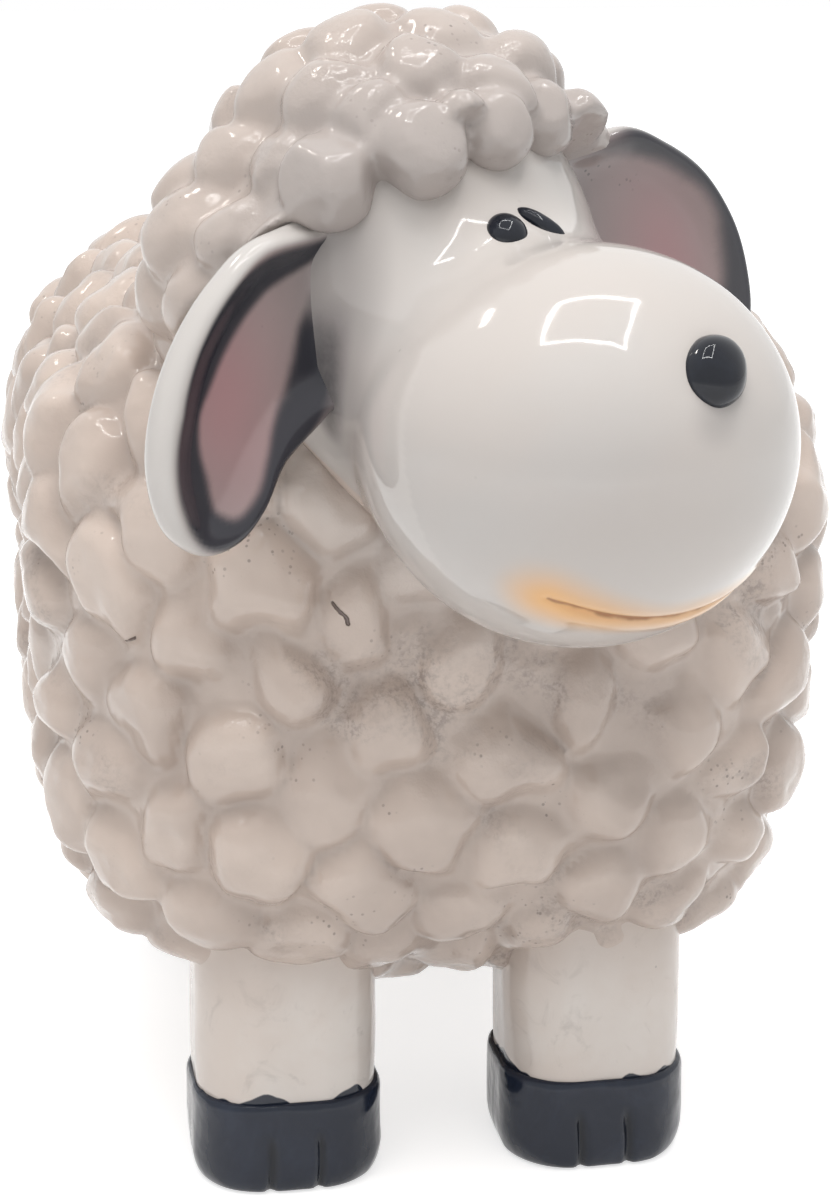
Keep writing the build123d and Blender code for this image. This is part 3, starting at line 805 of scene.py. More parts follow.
def brow_seats():
    """Place and radius of each large curl along the brow."""
    sizes, head = bpy.context.scene.sheep_fleece, bpy.context.scene.sheep_head
    brow = head_place() @ turn("X", -sizes.brow_tilt)
    seats = []
    for step, rise, share in FORELOCK_CURLS:
        height = sizes.forelock_rise + rise * MM
        ring = math.sqrt((head.radius + sizes.forelock_seat) ** 2 - height ** 2)
        seat = brow @ turn("Z", step * sizes.forelock_step) @ Matrix.Translation((0, -ring, height))
        seats.append((seat, share * sizes.forelock_radius))
    return seats


class SHEEP_OT_wool_cap(bpy.types.Operator):
    """Make the wool cap with the row of larger curls along the brow"""
    bl_idname = "sheep.wool_cap"
    bl_label = "Wool cap"

    def execute(self, context):
        sizes = context.scene.sheep_fleece
        skull = head_place()
        hood = skull @ turn("X", -sizes.hood_tilt)
        radius = sizes.hood_radius
        pitch = sizes.curl_pitch * sizes.cap_curl_share
        centres, centre_out = curl_places(np.full(3, radius), radius * 0.999, pitch)
        bm = bmesh.new()
        bmesh.ops.create_icosphere(bm, subdivisions=7, radius=radius)
        points = points_of(bm)
        out = points / np.linalg.norm(points, axis=1)[:, None]
        wavered = points + waver(points, 0.008, 0.0009, 4)
        relief, _ = curl_relief(wavered, centres, centre_out, pitch, sizes.curl_height * 0.95, 23, 0.53)
        skull_ways = moved(out, (skull.inverted() @ hood).to_3x3().to_4x4())
        for way, height in CAP_SWELLS:
            aim = np.array(Vector(way).normalized())
            relief = relief + height * MM * np.exp((skull_ways @ aim - 1) / (1 - math.cos(CAP_SWELL_WIDTH)))
        seats = brow_seats()
        finished = moved(points + out * relief[:, None], hood)
        room = np.min([
            np.linalg.norm(finished - np.array(seat.translation), axis=1) - size for seat, size in seats
        ], axis=0)
        relief = relief * (0.2 + 0.8 * smooth_step(0.0, CREASE_WIDTH, room))
        relief = relief - CREASE_DEPTH * smooth_step(CREASE_WIDTH * 0.8, 0.0, room)
        set_points(bm, moved(points + out * relief[:, None], hood))
        bmesh.ops.bisect_plane(
            bm, geom=bm.verts[:] + bm.edges[:] + bm.faces[:], plane_co=hood @ Vector((0, 0, sizes.hood_rise)),
            plane_no=-(hood.to_3x3() @ Vector((0, 0, 1))), clear_outer=True,
        )
        bmesh.ops.holes_fill(bm, edges=[edge for edge in bm.edges if edge.is_boundary], sides=0)
        bmesh.ops.triangulate(bm, faces=[face for face in bm.faces if len(face.verts) > 4])
        random = np.random.default_rng(5)
        for seat, size in seats:
            lump, body = faceted_ball(random)
            set_points(lump, moved(body * size, seat))
            carrier = bpy.data.meshes.new("lump")
            lump.to_mesh(carrier)
            lump.free()
            bm.from_mesh(carrier)
            bpy.data.meshes.remove(carrier)
        bm = merged(bm, CAP_VOXEL)
        finished = points_of(bm)
        height = np.linalg.norm(moved(finished, hood.inverted()), axis=1) - radius
        field(bm, "crest", np.clip(height / sizes.curl_height, 0, 1))
        skin = moved(finished, skull.inverted())
        # Painted shade and a greyer tone, strongest on the front of the cap and its brow curls
        front = smooth_step(0.010, -0.016, skin[:, 1]) * smooth_step(0.044, 0.018, skin[:, 2])
        field(bm, "cap_grey_and_shade", 0.3 + 0.6 * front)
        finish_piece(bm, "wool_cap", painted_wool, ("wool_hood", "forelock"))
        return {"FINISHED"}


TAIL_CURL_SHARE = 0.62      # the tail's curls beside the fleece's


class SHEEP_OT_tail(bpy.types.Operator):
    """Make the small woolly tail"""
    bl_idname = "sheep.tail"
    bl_label = "Tail"

    def execute(self, context):
        sizes = context.scene.sheep_fleece
        radius = sizes.tail_radius
        half = np.array((radius, radius, sizes.tail_length / 2))
        pitch, height = sizes.curl_pitch * TAIL_CURL_SHARE, sizes.curl_height * TAIL_CURL_SHARE
        centres, centre_out = curl_places(half, radius * 0.999, pitch)
        bm, points, out = rounded_block(half, radius * 0.999, 36)
        relief, crest = curl_relief(points, centres, centre_out, pitch, height, 31)
        seat = Matrix.Translation(sizes.tail_middle) @ turn("X", sizes.tail_slope)
        set_points(bm, moved(points + out * relief[:, None], seat))
        field(bm, "crest", crest)
        finish_piece(bm, "tail_wool", painted_wool, ("tail",))
        return {"FINISHED"}


# Where the muzzle stands out a little more than an egg, how far and how widely
CHEEK_PLACE, CHEEK_SWELL, CHEEK_SPREAD = (-0.0165, -0.0815, 0.1270), 0.0021, 0.013
# The raised lips along the mouth line: height, distance from the line and width
LIP_HEIGHT, LIP_PLACE, LIP_WIDTH = 0.0002, 0.0022, 0.0013
# The mesh is made finer twice near the mouth line, within these distances
MOUTH_REFINED = (0.0034, 0.0021)
# Grey, a wider haze and a dark line round an ear's root on the face: strength, and from how far to how near the
# seam each comes in. The grey is sprayed paint and painted shade, the haze painted shade, and the dark line sprayed
# paint with painted shade in the join. The grey is weaker by a share at the seam's lower end.
ROOT_PAINTS = ((0.78, 0.0135, 0.003), (0.14, 0.030, 0.008), (0.6, 0.0055, 0.0008))
ROOT_GREY_LOSS = 0.4 / 0.78
# Painted shade on the middle of the muzzle and a smudge under the nose, both seen from the nose
MUZZLE_SHADE_PLACE, MUZZLE_SHADE_SPREAD, MUZZLE_SHADE = (-0.018, -0.011), (0.016, 0.012), 0.28
SMUDGE_PLACE, SMUDGE_REACH, SMUDGE = (-0.0024, 0.001, -0.0066), 0.0052, 0.6
# The edge of the wool under the jaw, a slanting plane with a ragged edge, seen from the skull
THROAT_SLOPE, THROAT_DROP, THROAT_RAGGED = 0.38, 0.0218, 0.0006


def refine_near(bm, line, reach, inside):
    """Divides the faces near a line once more, and lays the points on the skin, seen from inside it."""
    gap, _ = distance_to_line(points_of(bm), line)
    close = gap < reach
    edges = [edge for edge in bm.edges if close[edge.verts[0].index] or close[edge.verts[1].index]]
    bmesh.ops.subdivide_edges(bm, edges=edges, cuts=1, use_grid_fill=True)
    bmesh.ops.triangulate(bm, faces=[face for face in bm.faces if len(face.verts) > 3])
    bm.verts.index_update()
    ways = points_of(bm) - inside
    set_points(bm, on_skin(inside, ways / np.linalg.norm(ways, axis=1)[:, None]))


def root_paint(points):
    """How much grey and how much dark each point of the head has from the ears' roots: sprayed paint, with painted
    shade in and near the join.
    """
    head = bpy.context.scene.sheep_head
    grey, seam_dark_and_shade = np.zeros(len(points)), np.zeros(len(points))
    for side in (-1, 1):
        seam = smooth_line(np.array(EAR_SEAM_SHARES) * (side * head.ear_reach, head.ear_drop), 12)
        seam = moved(np.c_[seam, np.full(len(seam), MM)], ear_place(side))
        gap, down = distance_to_line(points, seam)
        near, haze, black = (strength * smooth_step(far, close, gap) for strength, far, close in ROOT_PAINTS)
        near = near * (1 - ROOT_GREY_LOSS * smooth_step(0.6, 1.0, down))
        grey = np.maximum(grey, np.maximum(near, haze))
        seam_dark_and_shade = np.maximum(seam_dark_and_shade, black * smooth_step(0.15, 0.55, down))
    return grey, seam_dark_and_shade


def muzzle_grey(points):
    """The smudge under the nose and the painted shade on the middle of the muzzle, at each point of the head."""
    head = bpy.context.scene.sheep_head
    nose_angle = head.nose_slope - head.muzzle_lift
    nose_spot = np.array((0, -math.cos(nose_angle), math.sin(nose_angle))) * head.muzzle_size[1] / 2
    muzzle = moved(points, muzzle_place().inverted())
    below_nose = np.linalg.norm((muzzle - nose_spot - SMUDGE_PLACE) * (1, 1, 1.1), axis=1)
    off_muzzle_shade = (muzzle[:, [0, 2]] - nose_spot[[0, 2]] - MUZZLE_SHADE_PLACE) / MUZZLE_SHADE_SPREAD
    muzzle_shade = swell(np.linalg.norm(off_muzzle_shade, axis=1), 1) * (muzzle[:, 1] < 0)
    return SMUDGE * smooth_step(SMUDGE_REACH, MM, below_nose), MUZZLE_SHADE * muzzle_shade


class SHEEP_OT_face(bpy.types.Operator):
    """Make the smooth head with its muzzle and the engraved mouth"""
    bl_idname = "sheep.face"
    bl_label = "Face"

    def execute(self, context):
        head = context.scene.sheep_head
        skull = head_place()
        inside = np.array(skull.translation.lerp(muzzle_place().translation, 0.42))
        bm = bmesh.new()
        bmesh.ops.create_icosphere(bm, subdivisions=7, radius=1)
        set_points(bm, on_skin(inside, points_of(bm)))
        line = mouth_line()
        for reach in MOUTH_REFINED:
            refine_near(bm, line, reach, inside)
        points = points_of(bm)
        gap, way = distance_to_line(points, line)
        ends = smooth_step(0.0, 0.1, way) * smooth_step(1.0, 0.85, way)
        cut = swell(gap, head.mouth_width * 0.62) * (0.35 + 0.65 * ends) * head.mouth_depth
        lip = swell(gap - LIP_PLACE, LIP_WIDTH) * LIP_HEIGHT * ends
        points = points + skin_normals(points) * (lip - cut)[:, None]
        field(bm, "mouth_gap", gap)
        field(bm, "mouth_way", way)
        grey, seam_dark_and_shade = root_paint(points)
        smudge, muzzle_shade = muzzle_grey(points)
        _, back, up = moved(points, skull.inverted()).T
        # Painted shade on the lower back of the skull, where it meets the fleece
        behind = smooth_step(-0.016, 0.0, back) * smooth_step(-0.024, -0.008, up) * 0.5
        field(bm, "shade", np.max([grey, behind, smudge], axis=0) + muzzle_shade)
        field(bm, "seam_dark_and_shade", seam_dark_and_shade)
        throat = THROAT_SLOPE * back - up - THROAT_DROP + THROAT_RAGGED * ripple(points, 0.005, 41)
        woolly = smooth_step(-THROAT_RAGGED, THROAT_RAGGED, throat) * smooth_step(-0.022, -0.016, back)
        field(bm, "woolly", woolly)
        gap = np.linalg.norm(points - CHEEK_PLACE, axis=1)
        set_points(bm, points + skin_normals(points) * (CHEEK_SWELL * swell(gap, CHEEK_SPREAD))[:, None])
        finish_piece(bm, "face", painted_face, ("head_shell",))
        return {"FINISHED"}


# The right and the left ear's outline, as shares of reach and drop, from the root over the top and round the tip
EAR_OUTLINE_SHARES = (
    (-0.10, 0.20), (0.34, 0.195), (0.63, 0.055), (0.86, -0.14), (1.02, -0.37), (1.09, -0.61), (1.04, -0.84),
    (0.86, -0.97), (0.65, -0.965), (0.48, -0.865), (0.34, -0.71), (0.14, -0.545), (-0.10, -0.42),
)
EAR_OUTLINE_LEFT_SHARES = (
    (-0.10, 0.22), (0.34, 0.21), (0.63, 0.06), (0.86, -0.14), (0.99, -0.39), (1.01, -0.63), (0.94, -0.87),
    (0.75, -1.0), (0.53, -0.98), (0.37, -0.85), (0.26, -0.69), (0.10, -0.57), (-0.10, -0.52),
)
# Width and softness of the white rim at each of those places, in mm
RIGHT_EAR_RIM = (
    (1.0, 0.3), (1.5, 0.3), (2.0, 0.3), (2.6, 0.4), (3.5, 0.6), (3.2, 1.0), (2.6, 1.2), (0.6, 0.6),
    (0.1, 0.3), (0, 0.3), (-0.2, 0.3), (-0.2, 0.3), (-0.2, 0.3),
)
LEFT_EAR_RIM = ((0.2, 0.3),) * 3 + ((-0.1, 0.3),) * 10
# The dark band sprayed round the hollow: place as shares, half width in mm, strength
RIGHT_EAR_BAND = (
    (-0.12, 0.20, 1.2, 0.5), (0.04, 0.15, 1.6, 0.85), (0.26, 0.085, 2.0, 1), (0.485, -0.02, 2.8, 1),
    (0.645, -0.145, 3.0, 1), (0.755, -0.28, 2.9, 1), (0.85, -0.41, 2.8, 1), (0.885, -0.56, 3.0, 1),
    (0.87, -0.70, 3.3, 1), (0.84, -0.82, 3.1, 1), (0.77, -0.89, 2.6, 1), (0.63, -0.91, 1.8, 1),
    (0.48, -0.82, 1.6, 1), (0.38, -0.69, 1.8, 1), (0.305, -0.577, 2.0, 1), (0.22, -0.455, 2.2, 1),
    (0.15, -0.32, 2.6, 1), (0.12, -0.19, 2.4, 0.9), (0.10, -0.09, 1.7, 0.4),
)
LEFT_EAR_BAND = (
    (0.08, 0.20, 1.4, 0), (0.26, 0.18, 1.8, 0.6), (0.42, 0.135, 2.3, 1), (0.60, 0.05, 2.3, 1),
    (0.76, -0.07, 2.2, 1), (0.88, -0.19, 2.1, 1), (0.95, -0.33, 2.2, 1), (0.97, -0.50, 2.6, 1),
    (0.95, -0.66, 2.8, 1), (0.86, -0.83, 2.8, 1), (0.70, -0.92, 2.4, 1), (0.5, -0.9, 2.0, 1),
    (0.32, -0.74, 1.8, 1), (0.12, -0.53, 1.6, 1), (0.04, -0.38, 1.5, 1), (0.02, -0.25, 1.3, 1),
    (0.0, -0.15, 1.0, 0.9), (0.0, -0.05, 0.7, 0.6), (0.02, 0.05, 0.5, 0),
)
# Other places on an ear, as the same shares: the pink middle and its spread, the seam with the head, the dark
# lower corner of the root and the middle that the mesh spreads from. The root is in shares of the skull's radius.
RIGHT_EAR_PINK, LEFT_EAR_PINK, EAR_PINK_SPREAD = (0.62, -0.38), (0.48, -0.48), (0.30, 0.42)
EAR_SEAM_SHARES = ((0.04, 0.10), (0.03, -0.15), (0.03, -0.35), (0.05, -0.54))
EAR_CORNER_SHARES = (0.06, -0.48)
EAR_MIDDLE_SHARES = (0.55, -0.38)
EAR_ROOT_SHARES = (0.87, 0.47, 0.11)
EAR_CURVES = (0.0022, 0.0012)       # how far the ear's tip comes forward, by its reach and its drop
RIGHT_BAND_BLUR, LEFT_BAND_BLUR = 0.0009, 0.0017


def ear_place(side):
    """The ear's root on the skull, with Z the way its front looks, Y up and X to the sheep's left."""
    head = bpy.context.scene.sheep_head
    out, ahead, up = (part * head.radius for part in EAR_ROOT_SHARES)
    splay, lift = (head.ear_splay_left, head.ear_lift_left) if side > 0 else (0, 0)
    root = head_place() @ Matrix.Translation((side * out, -ahead, up + lift))
    return root @ turn("X", math.pi / 2) @ turn("Y", side * head.ear_turn) @ turn("Z", side * splay)


def ear_outline(side):
    """The ear's outline from the root over the top and round by the tip, X outwards."""
    head = bpy.context.scene.sheep_head
    reach, shares = (
        (head.ear_reach_left, EAR_OUTLINE_LEFT_SHARES) if side > 0 else (head.ear_reach, EAR_OUTLINE_SHARES)
    )
    return smooth_line(np.array(shares) * (reach, head.ear_drop), 16, closed=True)


class SHEEP_OT_ears(bpy.types.Operator):
    """Make the two hanging, scooped ears"""
    bl_idname = "sheep.ears"
    bl_label = "Ears"

    def execute(self, context):
        head = context.scene.sheep_head
        edge = head.ear_thickness / 2
        for name, side, long, rim, band, pink_middle, blur in (
            ("right", -1, head.ear_reach, RIGHT_EAR_RIM, RIGHT_EAR_BAND, RIGHT_EAR_PINK, RIGHT_BAND_BLUR),
            ("left", 1, head.ear_reach_left, LEFT_EAR_RIM, LEFT_EAR_BAND, LEFT_EAR_PINK, LEFT_BAND_BLUR),
        ):
            # A ball pressed flat: its front and back go out to the outline and round the edge
            outline = ear_outline(side)
            middle = np.array(EAR_MIDDLE_SHARES) * (long, head.ear_drop)
            spokes = outline - middle
            spoke_angle = np.arctan2(spokes[:, 1], spokes[:, 0])
            order = np.argsort(spoke_angle)
            spoke_angle, spoke_length = spoke_angle[order], np.linalg.norm(spokes, axis=1)[order]
            bm = bmesh.new()
            bmesh.ops.create_uvsphere(bm, u_segments=144, v_segments=80, radius=1)
            ball = points_of(bm)
            around = np.arctan2(ball[:, 1], ball[:, 0])
            radius = np.interp(around, spoke_angle, spoke_length, period=2 * math.pi)
            polar = np.arccos(np.clip(ball[:, 2], -1, 1))
            fold = np.minimum(polar, math.pi - polar) / (math.pi / 2)
            run = fold * (radius - edge + edge * math.pi / 2)
            bend = np.clip((run - (radius - edge)) / edge, 0, math.pi / 2)
            reach = np.where(run < radius - edge, run, radius - edge + edge * np.sin(bend))
            thick = edge * np.cos(bend)
            x = middle[0] + reach * np.cos(around)
            y = middle[1] + reach * np.sin(around)
            # The hollow in the front, inside the rim
            gap, way = distance_to_line(np.c_[x, y], np.concatenate([outline, outline[:1]]))
            stops = np.arange(len(rim) + 1)
            rim_at, rim_blur = (np.interp(way * len(rim), stops, [*part, part[0]]) * MM for part in zip(*rim))
            scoop = head.ear_scoop * smooth_step(-0.0012, 0.0058, gap - np.maximum(rim_at * 0.8, 0.0008))
            z = np.where(polar < math.pi / 2, thick - scoop, -thick)
            for share, curve in zip((x / head.ear_reach, y / head.ear_drop), EAR_CURVES):
                z = z + share ** 2 * curve
            placed = moved(np.c_[side * x, y, z], ear_place(side))
            # The root settles on the skin, in front first
            inner = smooth_step(0.34, 0.04, x / head.ear_reach)
            inner = inner * smooth_step(math.pi * 0.56, math.pi * 0.48, polar)
            inner = np.maximum(inner, smooth_step(0.13, -0.04, x / head.ear_reach))
            off_skin = head_distance(placed)
            settle = np.clip(off_skin + 0.0004, 0, None) * inner * smooth_step(0.018, 0.011, off_skin)
            set_points(bm, placed - skin_normals(placed) * settle[:, None])
            # Paint
            white = smooth_step(rim_blur, -rim_blur, gap - rim_at)
            sprayed = smooth_line(np.array(band) * (long, head.ear_drop, MM, 1), 8)
            off_band, along = distance_to_line(np.c_[x, y], sprayed[:, :2])
            stops = np.linspace(0, 1, len(sprayed))
            half_width, strength = (np.interp(along, stops, sprayed[:, column]) for column in (2, 3))
            dark = smooth_step(blur * 1.3, -blur, off_band - half_width) * strength
            shares = np.c_[x / long, y / head.ear_drop]
            if side < 0:
                corner = np.linalg.norm(shares - EAR_CORNER_SHARES, axis=1)
                dark = np.maximum(dark, 0.55 * smooth_step(0.24, 0.08, corner))
                front = smooth_step(-0.35, -0.1, np.cos(polar))
            else:
                front = smooth_step(-0.75, -0.35, np.cos(polar) / np.maximum((reach / radius) ** 8, 0.02))
            off_pink = np.linalg.norm((shares - pink_middle) / EAR_PINK_SPREAD, axis=1)
            field(bm, "white", soften(bm, white, 1))
            field(bm, "dark", soften(bm, dark, 1))
            field(bm, "pink", swell(off_pink, 1))
            field(bm, "root", smooth_step(0.34, -0.02, x / head.ear_reach) * 0.8)
            field(bm, "front", front)
            finish_piece(bm, f"ear_{name}_leaf", painted_ear, ("ear_" + name,))
        return {"FINISHED"}


# Half width, half height, half depth and the shift to the left in half widths, and how far each dome leans and sinks
RIGHT_EYE, LEFT_EYE, NOSE = (1, 1.12, 0.7, -0.1), (0.5, 1.5, 0.55, -0.4), (0.93, 1.07, 0.77, 0)
RIGHT_EYE_LEAN, LEFT_EYE_LEAN, NOSE_LEAN = (math.radians(lean) for lean in (6, 20, -45))
EYE_SINK, NOSE_SINK = 0.00025, 0.0006


class SHEEP_OT_eyes_and_nose(bpy.types.Operator):
    """Make the small black domes of the eyes and the nose"""
    bl_idname = "sheep.eyes_and_nose"
    bl_label = "Eyes and nose"

    def execute(self, context):
        head = context.scene.sheep_head
        skull, muzzle = head_place(), muzzle_place()
        nose_angle = head.nose_slope - head.muzzle_lift
        eye, nose = head.eye_width / 2, head.nose_width / 2
        eye_way = (head.eye_sideset, -head.radius, math.tan(head.eye_lift) * head.radius)
        nose_way = np.array((0, -math.cos(nose_angle), math.sin(nose_angle))) * head.muzzle_size[1]
        for name, base, way, spacing, size, shape, lean, sink in (
            ("eye_right", skull, eye_way, -head.eye_spacing / 2, eye, RIGHT_EYE, RIGHT_EYE_LEAN, EYE_SINK),
            ("eye_left", skull, eye_way, head.eye_spacing / 2, eye, LEFT_EYE, LEFT_EYE_LEAN, EYE_SINK),
            ("nose", muzzle, nose_way, 0, nose, NOSE, NOSE_LEAN, NOSE_SINK),
        ):
            way = Vector(way) + Vector((spacing + size * shape[3], 0, 0))
            seat = on_skin(np.array(base.translation), np.array((base.to_3x3() @ way).normalized())[None])
            out = Vector(skin_normals(seat)[0])
            side = (base.to_3x3() @ Vector((0, 0, 1))).cross(out).normalized()
            basis = Matrix((side, out.cross(side), out)).transposed().to_4x4()
            bm = bmesh.new()
            bmesh.ops.create_uvsphere(bm, u_segments=64, v_segments=40, radius=1)
            points = points_of(bm)
            uneven = 1 + 0.025 * ripple(points, 0.9, 9 + len(name))
            points = points * uneven[:, None] * np.array(shape[:3]) * size
            set_points(bm, moved(points, Matrix.Translation(Vector(seat[0]) - out * sink) @ basis @ turn("Z", lean)))
            finish_piece(bm, name + "_bead", black_bead, (name,))
        return {"FINISHED"}


FEET = ("front_right", "front_left", "rear_right", "rear_left")
# The brushed edge of the hoof's paint on the leg: waves round it, step from leg to leg, height in the noise, reach
DIP_BRUSHES = ((1.6, 5, 0, 0.0036), (5, 9, 3, 0.0012))


def column(half_width, rounding, low, high, cuts=44):
    """A square column with round corners, closed at both ends, around the vertical axis."""
    bm = bmesh.new()
    bmesh.ops.create_cube(bm, size=2)
    bmesh.ops.subdivide_edges(bm, edges=bm.edges, cuts=cuts, use_grid_fill=True)
    unit = points_of(bm)
    half = np.array((half_width, half_width, (high - low) / 2))
    core = half_width - rounding
    points = unit * half
    flat = points[:, :2]
    inner = np.clip(flat, -core, core)
    gap = flat - inner
    length_of = np.linalg.norm(gap, axis=1)
    corner = (np.abs(flat) > core).all(axis=1)
    stretch = np.abs(gap).max(axis=1) / np.maximum(length_of, 1e-9)
    points[:, :2] = np.where(corner[:, None], inner + gap * stretch[:, None], flat)
    points[:, 2] += (low + high) / 2
    return bm, points


class SHEEP_OT_legs(bpy.types.Operator):
    """Make the four stout legs"""
    bl_idname = "sheep.legs"
    bl_label = "Legs"

    def execute(self, context):
        feet = context.scene.sheep_feet
        for index, foot in enumerate(FEET):
            low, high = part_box("leg_" + foot)
            middle = (low + high) / 2
            bm, points = column((high.x - low.x) / 2, feet.leg_round, low.z - 0.002, high.z + feet.leg_above)
            height = (points[:, 2] - low.z) / (high.z - low.z)
            belly = 1 + 0.02 * np.sin(np.clip(height, 0, 1) * math.pi)
            wobble = 1 + 0.012 * ripple(points, 0.012, 20 + index)
            points[:, :2] *= (belly * wobble)[:, None]
            around = np.arctan2(points[:, 1], points[:, 0])
            brush = sum(
                np.array([
                    noise.noise(Vector((math.cos(a) * waves + index * step, math.sin(a) * waves, level)))
                    for a in around
                ]) * reach
                for waves, step, level, reach in DIP_BRUSHES
            )
            field(bm, "above_dip", points[:, 2] - (low.z - 0.0004 + brush))
            field(bm, "top", smooth_step(0.45, 0.9, height))
            set_points(bm, points + (middle.x, middle.y, 0))
            finish_piece(bm, f"leg_{foot}_form", painted_leg, ("leg_" + foot,))
        return {"FINISHED"}


HOOF_SOLE_EDGE, HOOF_TOP_EDGE, TOE_GROOVE_DEPTH = 0.0048, 0.0016, 0.0010


class SHEEP_OT_hooves(bpy.types.Operator):
    """Make the four dark hooves with their toe grooves"""
    bl_idname = "sheep.hooves"
    bl_label = "Hooves"

    def execute(self, context):
        feet = context.scene.sheep_feet
        for index, foot in enumerate(FEET):
            low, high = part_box("hoof_" + foot)
            leg_low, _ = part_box("leg_" + foot)
            middle = (low + high) / 2
            half = (high.x - low.x) / 2
            top = leg_low.z
            bm, points = column(half, feet.hoof_round, 0, top, 60)
            height = points[:, 2] / top
            sole_edge, top_edge = (
                np.sqrt(1 - (1 - np.clip(away / edge, 0, 1)) ** 2)
                for away, edge in ((points[:, 2], HOOF_SOLE_EDGE), (top - points[:, 2], HOOF_TOP_EDGE))
            )
            narrow = 0.875 + 0.125 * sole_edge - 0.045 * (1 - top_edge)
            side_on = np.abs(points[:, :2]).max(axis=1) > half * 0.5
            scale = np.where(side_on, narrow, 1.0)
            wobble = 1 - 0.014 * np.abs(ripple(points, 0.011, 30 + index))
            points[:, :2] *= (scale * wobble)[:, None]
            front = smooth_step(-half * 0.45, -half * 0.8, points[:, 1])
            grooves = np.zeros(len(points))
            for side in (-1, 1):
                offset = points[:, 0] - side * feet.toe_spacing / 2 - 0.0004 * np.sin(height * 4 + index)
                reach_up = smooth_step(feet.toe_height * 1.08, feet.toe_height * 0.7, points[:, 2])
                grooves = np.maximum(grooves, swell(offset, feet.toe_groove * 0.42) * reach_up * front)
            points[:, 1] += grooves * TOE_GROOVE_DEPTH
            field(bm, "groove", grooves)
            set_points(bm, points + (middle.x, middle.y, 0))
            finish_piece(bm, f"hoof_{foot}_form", painted_hoof, ("hoof_" + foot,))
        return {"FINISHED"}


# Lamps: place, size, power, tint. None of these shows in the glaze.
LAMP_TARGET = (0, -0.02, 0.09)
SOFT_LAMPS = {
    "ceiling": ((-0.1, -0.35, 0.95), (0.8, 0.8), 6.2, (1.0, 0.975, 0.95)),
    "fill_left": ((0.95, -0.35, 0.3), (0.8, 0.8), 1.15, (0.95, 0.98, 1.0)),
    "fill_right": ((-0.95, -0.25, 0.25), (0.8, 0.8), 1.5, (1.0, 0.98, 0.96)),
    "back": ((0.1, 0.9, 0.7), (0.8, 0.8), 2.2, (1, 1, 1)),
}
LOW_LAMP = ((-0.05, -0.8, 0.04), (1.2, 0.12), 1.0, (1, 1, 1))
LOW_TARGET = (0, -0.03, 0.05)
# A small lamp that only shows in the glaze
SPARK = ((-0.38, 0.30, 0.80), (0.12, 0.035), 0.5, (1.0, 0.94, 0.88))
# A frame of lit strips overhead, which shows on the muzzle: its middle, corners, strip width and power a metre
TENT_MIDDLE = (0.02, -0.045, 0.742)
TENT_CORNERS = ((-0.1035, 0.090, 0), (0.190, 0.0895, 0), (0.082, -0.287, 0), (-0.28, -0.131, 0))
TENT_STRIP, TENT_POWER = 0.009, 1.15
# White around the model, and the part of it that lights the model
AROUND_WHITE, AROUND_LIGHT = 1.0, 0.33
FLOOR_WHITE_NEAR, FLOOR_WHITE_FAR = 0.66, 0.86
FLOOR_FADE = (0.15, 0.7)
CAMERA_PLACE, CAMERA_AIM, CAMERA_LENS = (-0.07284, -0.42494, 0.19045), (0.0013, -0.0045, 0.084), 81


def area_lamp(name, spot, size, power, tint=(1, 1, 1), target=LAMP_TARGET):
    lamp = bpy.data.lights.new(name, "AREA")
    lamp.shape = "RECTANGLE"
    lamp.size, lamp.size_y = size
    lamp.energy = power
    lamp.color = tint
    holder = bpy.data.objects.new(name, lamp)
    bpy.context.scene.collection.objects.link(holder)
    holder.location = spot
    holder.rotation_euler = (Vector(target) - Vector(spot)).to_track_quat("-Z", "Y").to_euler()
    return holder


def white_rays(nodes, links):
    """1 for a ray that meets plain white: one from the camera, a mirrored one or one through glass."""
    rays = nodes.new("ShaderNodeLightPath").outputs
    seen = rays["Is Camera Ray"]
    for ray in ("Is Glossy Ray", "Is Transmission Ray"):
        either = nodes.new("ShaderNodeMath")
        either.operation = "MAXIMUM"
        links.new(seen, either.inputs[0])
        links.new(rays[ray], either.inputs[1])
        seen = either.outputs[0]
    return seen


def floor_paper():
    """White paper that keeps the shadow, and fades to plain white away from the model."""
    paint = Paint("floor_paper")
    paint.value(paint.shader, "Base Color", paint.mix(paint.noise(3), (0.80, 0.80, 0.80), (0.82, 0.82, 0.82)))
    paint.shader.inputs["Roughness"].default_value = 0.9
    paint.value(paint.shader, "Normal", paint.bump(paint.noise(900, 2.0), 0.2, 0.00005))
    away = paint.nodes.new("ShaderNodeVectorMath")
    away.operation = "LENGTH"
    paint.links.new(paint.place, away.inputs[0])
    white = paint.ramp(away.outputs["Value"], *FLOOR_FADE, FLOOR_WHITE_NEAR, FLOOR_WHITE_FAR)
    paint.shader.inputs["Emission Color"].default_value = (1, 1, 1, 1)
    seen = white_rays(paint.nodes, paint.links)
    paint.value(paint.shader, "Emission Strength", paint.times(seen, white))
    return paint.material


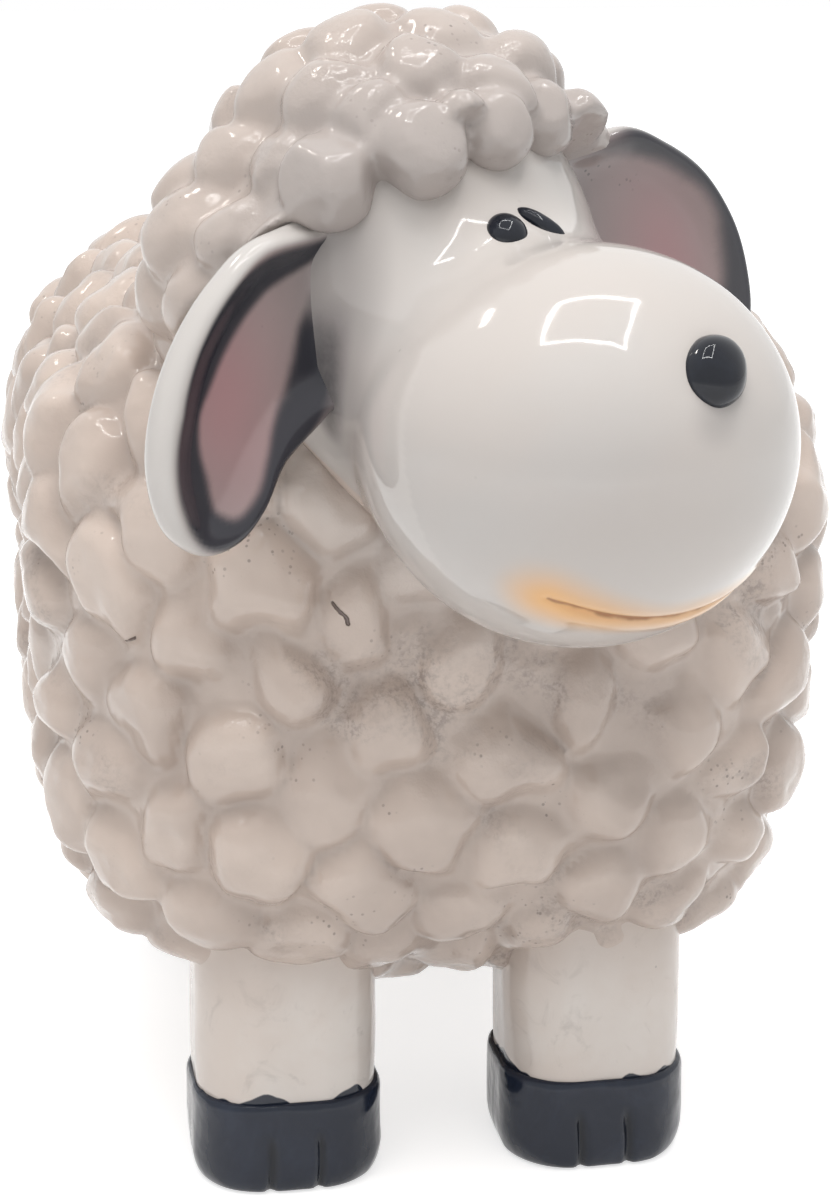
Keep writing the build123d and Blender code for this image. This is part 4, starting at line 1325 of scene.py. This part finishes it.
class SHEEP_OT_stage(bpy.types.Operator):
    """Set up the floor, the lamps and the camera"""
    bl_idname = "sheep.stage"
    bl_label = "Stage"

    def execute(self, context):
        scene = context.scene
        bm = bmesh.new()
        bmesh.ops.create_grid(bm, x_segments=1, y_segments=1, size=6)
        mesh = bpy.data.meshes.new("floor")
        bm.to_mesh(mesh)
        bm.free()
        floor = bpy.data.objects.new("floor", mesh)
        scene.collection.objects.link(floor)
        floor.location = (0, 0, -0.0002)
        mesh.materials.append(floor_paper())

        scene.world = bpy.data.worlds.new("studio")
        scene.world.use_nodes = True
        tree = scene.world.node_tree
        background = tree.nodes["Background"]
        background.inputs["Color"].default_value = (1, 1, 1, 1)
        strength = tree.nodes.new("ShaderNodeMapRange")
        strength.inputs["To Min"].default_value = AROUND_LIGHT
        strength.inputs["To Max"].default_value = AROUND_WHITE
        tree.links.new(white_rays(tree.nodes, tree.links), strength.inputs["Value"])
        tree.links.new(strength.outputs["Result"], background.inputs["Strength"])

        for name, lamp in SOFT_LAMPS.items():
            area_lamp(name, *lamp).visible_glossy = False
        area_lamp("low", *LOW_LAMP, LOW_TARGET).visible_glossy = False
        area_lamp("spark", *SPARK).visible_diffuse = False
        corners = [Vector(corner) for corner in TENT_CORNERS]
        for start, end in zip(corners, corners[1:] + corners[:1]):
            run = end - start
            spot = Vector(TENT_MIDDLE) + (start + end) / 2
            lamp = area_lamp("tent", spot, (run.length, TENT_STRIP), TENT_POWER * run.length)
            lamp.rotation_euler = (0, 0, math.atan2(run.y, run.x))

        camera = bpy.data.cameras.new("camera")
        camera.lens = CAMERA_LENS
        camera.sensor_width = 36
        camera.sensor_fit = "AUTO"
        camera.clip_start = 0.01
        holder = bpy.data.objects.new("camera", camera)
        scene.collection.objects.link(holder)
        holder.location = CAMERA_PLACE
        holder.rotation_euler = (Vector(CAMERA_AIM) - holder.location).to_track_quat("-Z", "Y").to_euler()
        scene.camera = holder
        scene.view_settings.view_transform = "Standard"
        return {"FINISHED"}


OPERATORS = (
    SHEEP_OT_fleece, SHEEP_OT_wool_cap, SHEEP_OT_tail, SHEEP_OT_face, SHEEP_OT_ears, SHEEP_OT_eyes_and_nose,
    SHEEP_OT_legs, SHEEP_OT_hooves, SHEEP_OT_stage,
)


class SHEEP_PT_panel(bpy.types.Panel):
    """Lists the pieces and their sizes"""
    bl_idname = "SHEEP_PT_panel"
    bl_label = "Ceramic sheep"
    bl_space_type = "VIEW_3D"
    bl_region_type = "UI"
    bl_category = "Sheep"

    def draw(self, context):
        for operator in OPERATORS:
            self.layout.operator(operator.bl_idname)
        for group in (getattr(context.scene, name) for name in GROUPS):
            box = self.layout.box()
            for size in group.__annotations__:
                box.prop(group, size)


GROUPS = {
    "sheep_fleece": SheepFleece,
    "sheep_head": SheepHead,
    "sheep_feet": SheepFeet,
    "sheep_colours": SheepColours,
}


def register():
    for group in GROUPS.values():
        bpy.utils.register_class(group)
    for name, group in GROUPS.items():
        setattr(bpy.types.Scene, name, PointerProperty(type=group))
    for operator in OPERATORS:
        bpy.utils.register_class(operator)
    bpy.utils.register_class(SHEEP_PT_panel)


def unregister():
    bpy.utils.unregister_class(SHEEP_PT_panel)
    for operator in reversed(OPERATORS):
        bpy.utils.unregister_class(operator)
    for name, group in GROUPS.items():
        delattr(bpy.types.Scene, name)
        bpy.utils.unregister_class(group)


def main():
    register()
    bpy.ops.sheep.fleece()
    bpy.ops.sheep.wool_cap()
    bpy.ops.sheep.tail()
    bpy.ops.sheep.face()
    bpy.ops.sheep.ears()
    bpy.ops.sheep.eyes_and_nose()
    bpy.ops.sheep.legs()
    bpy.ops.sheep.hooves()
    bpy.ops.sheep.stage()


if __name__ == "__main__":
    main()
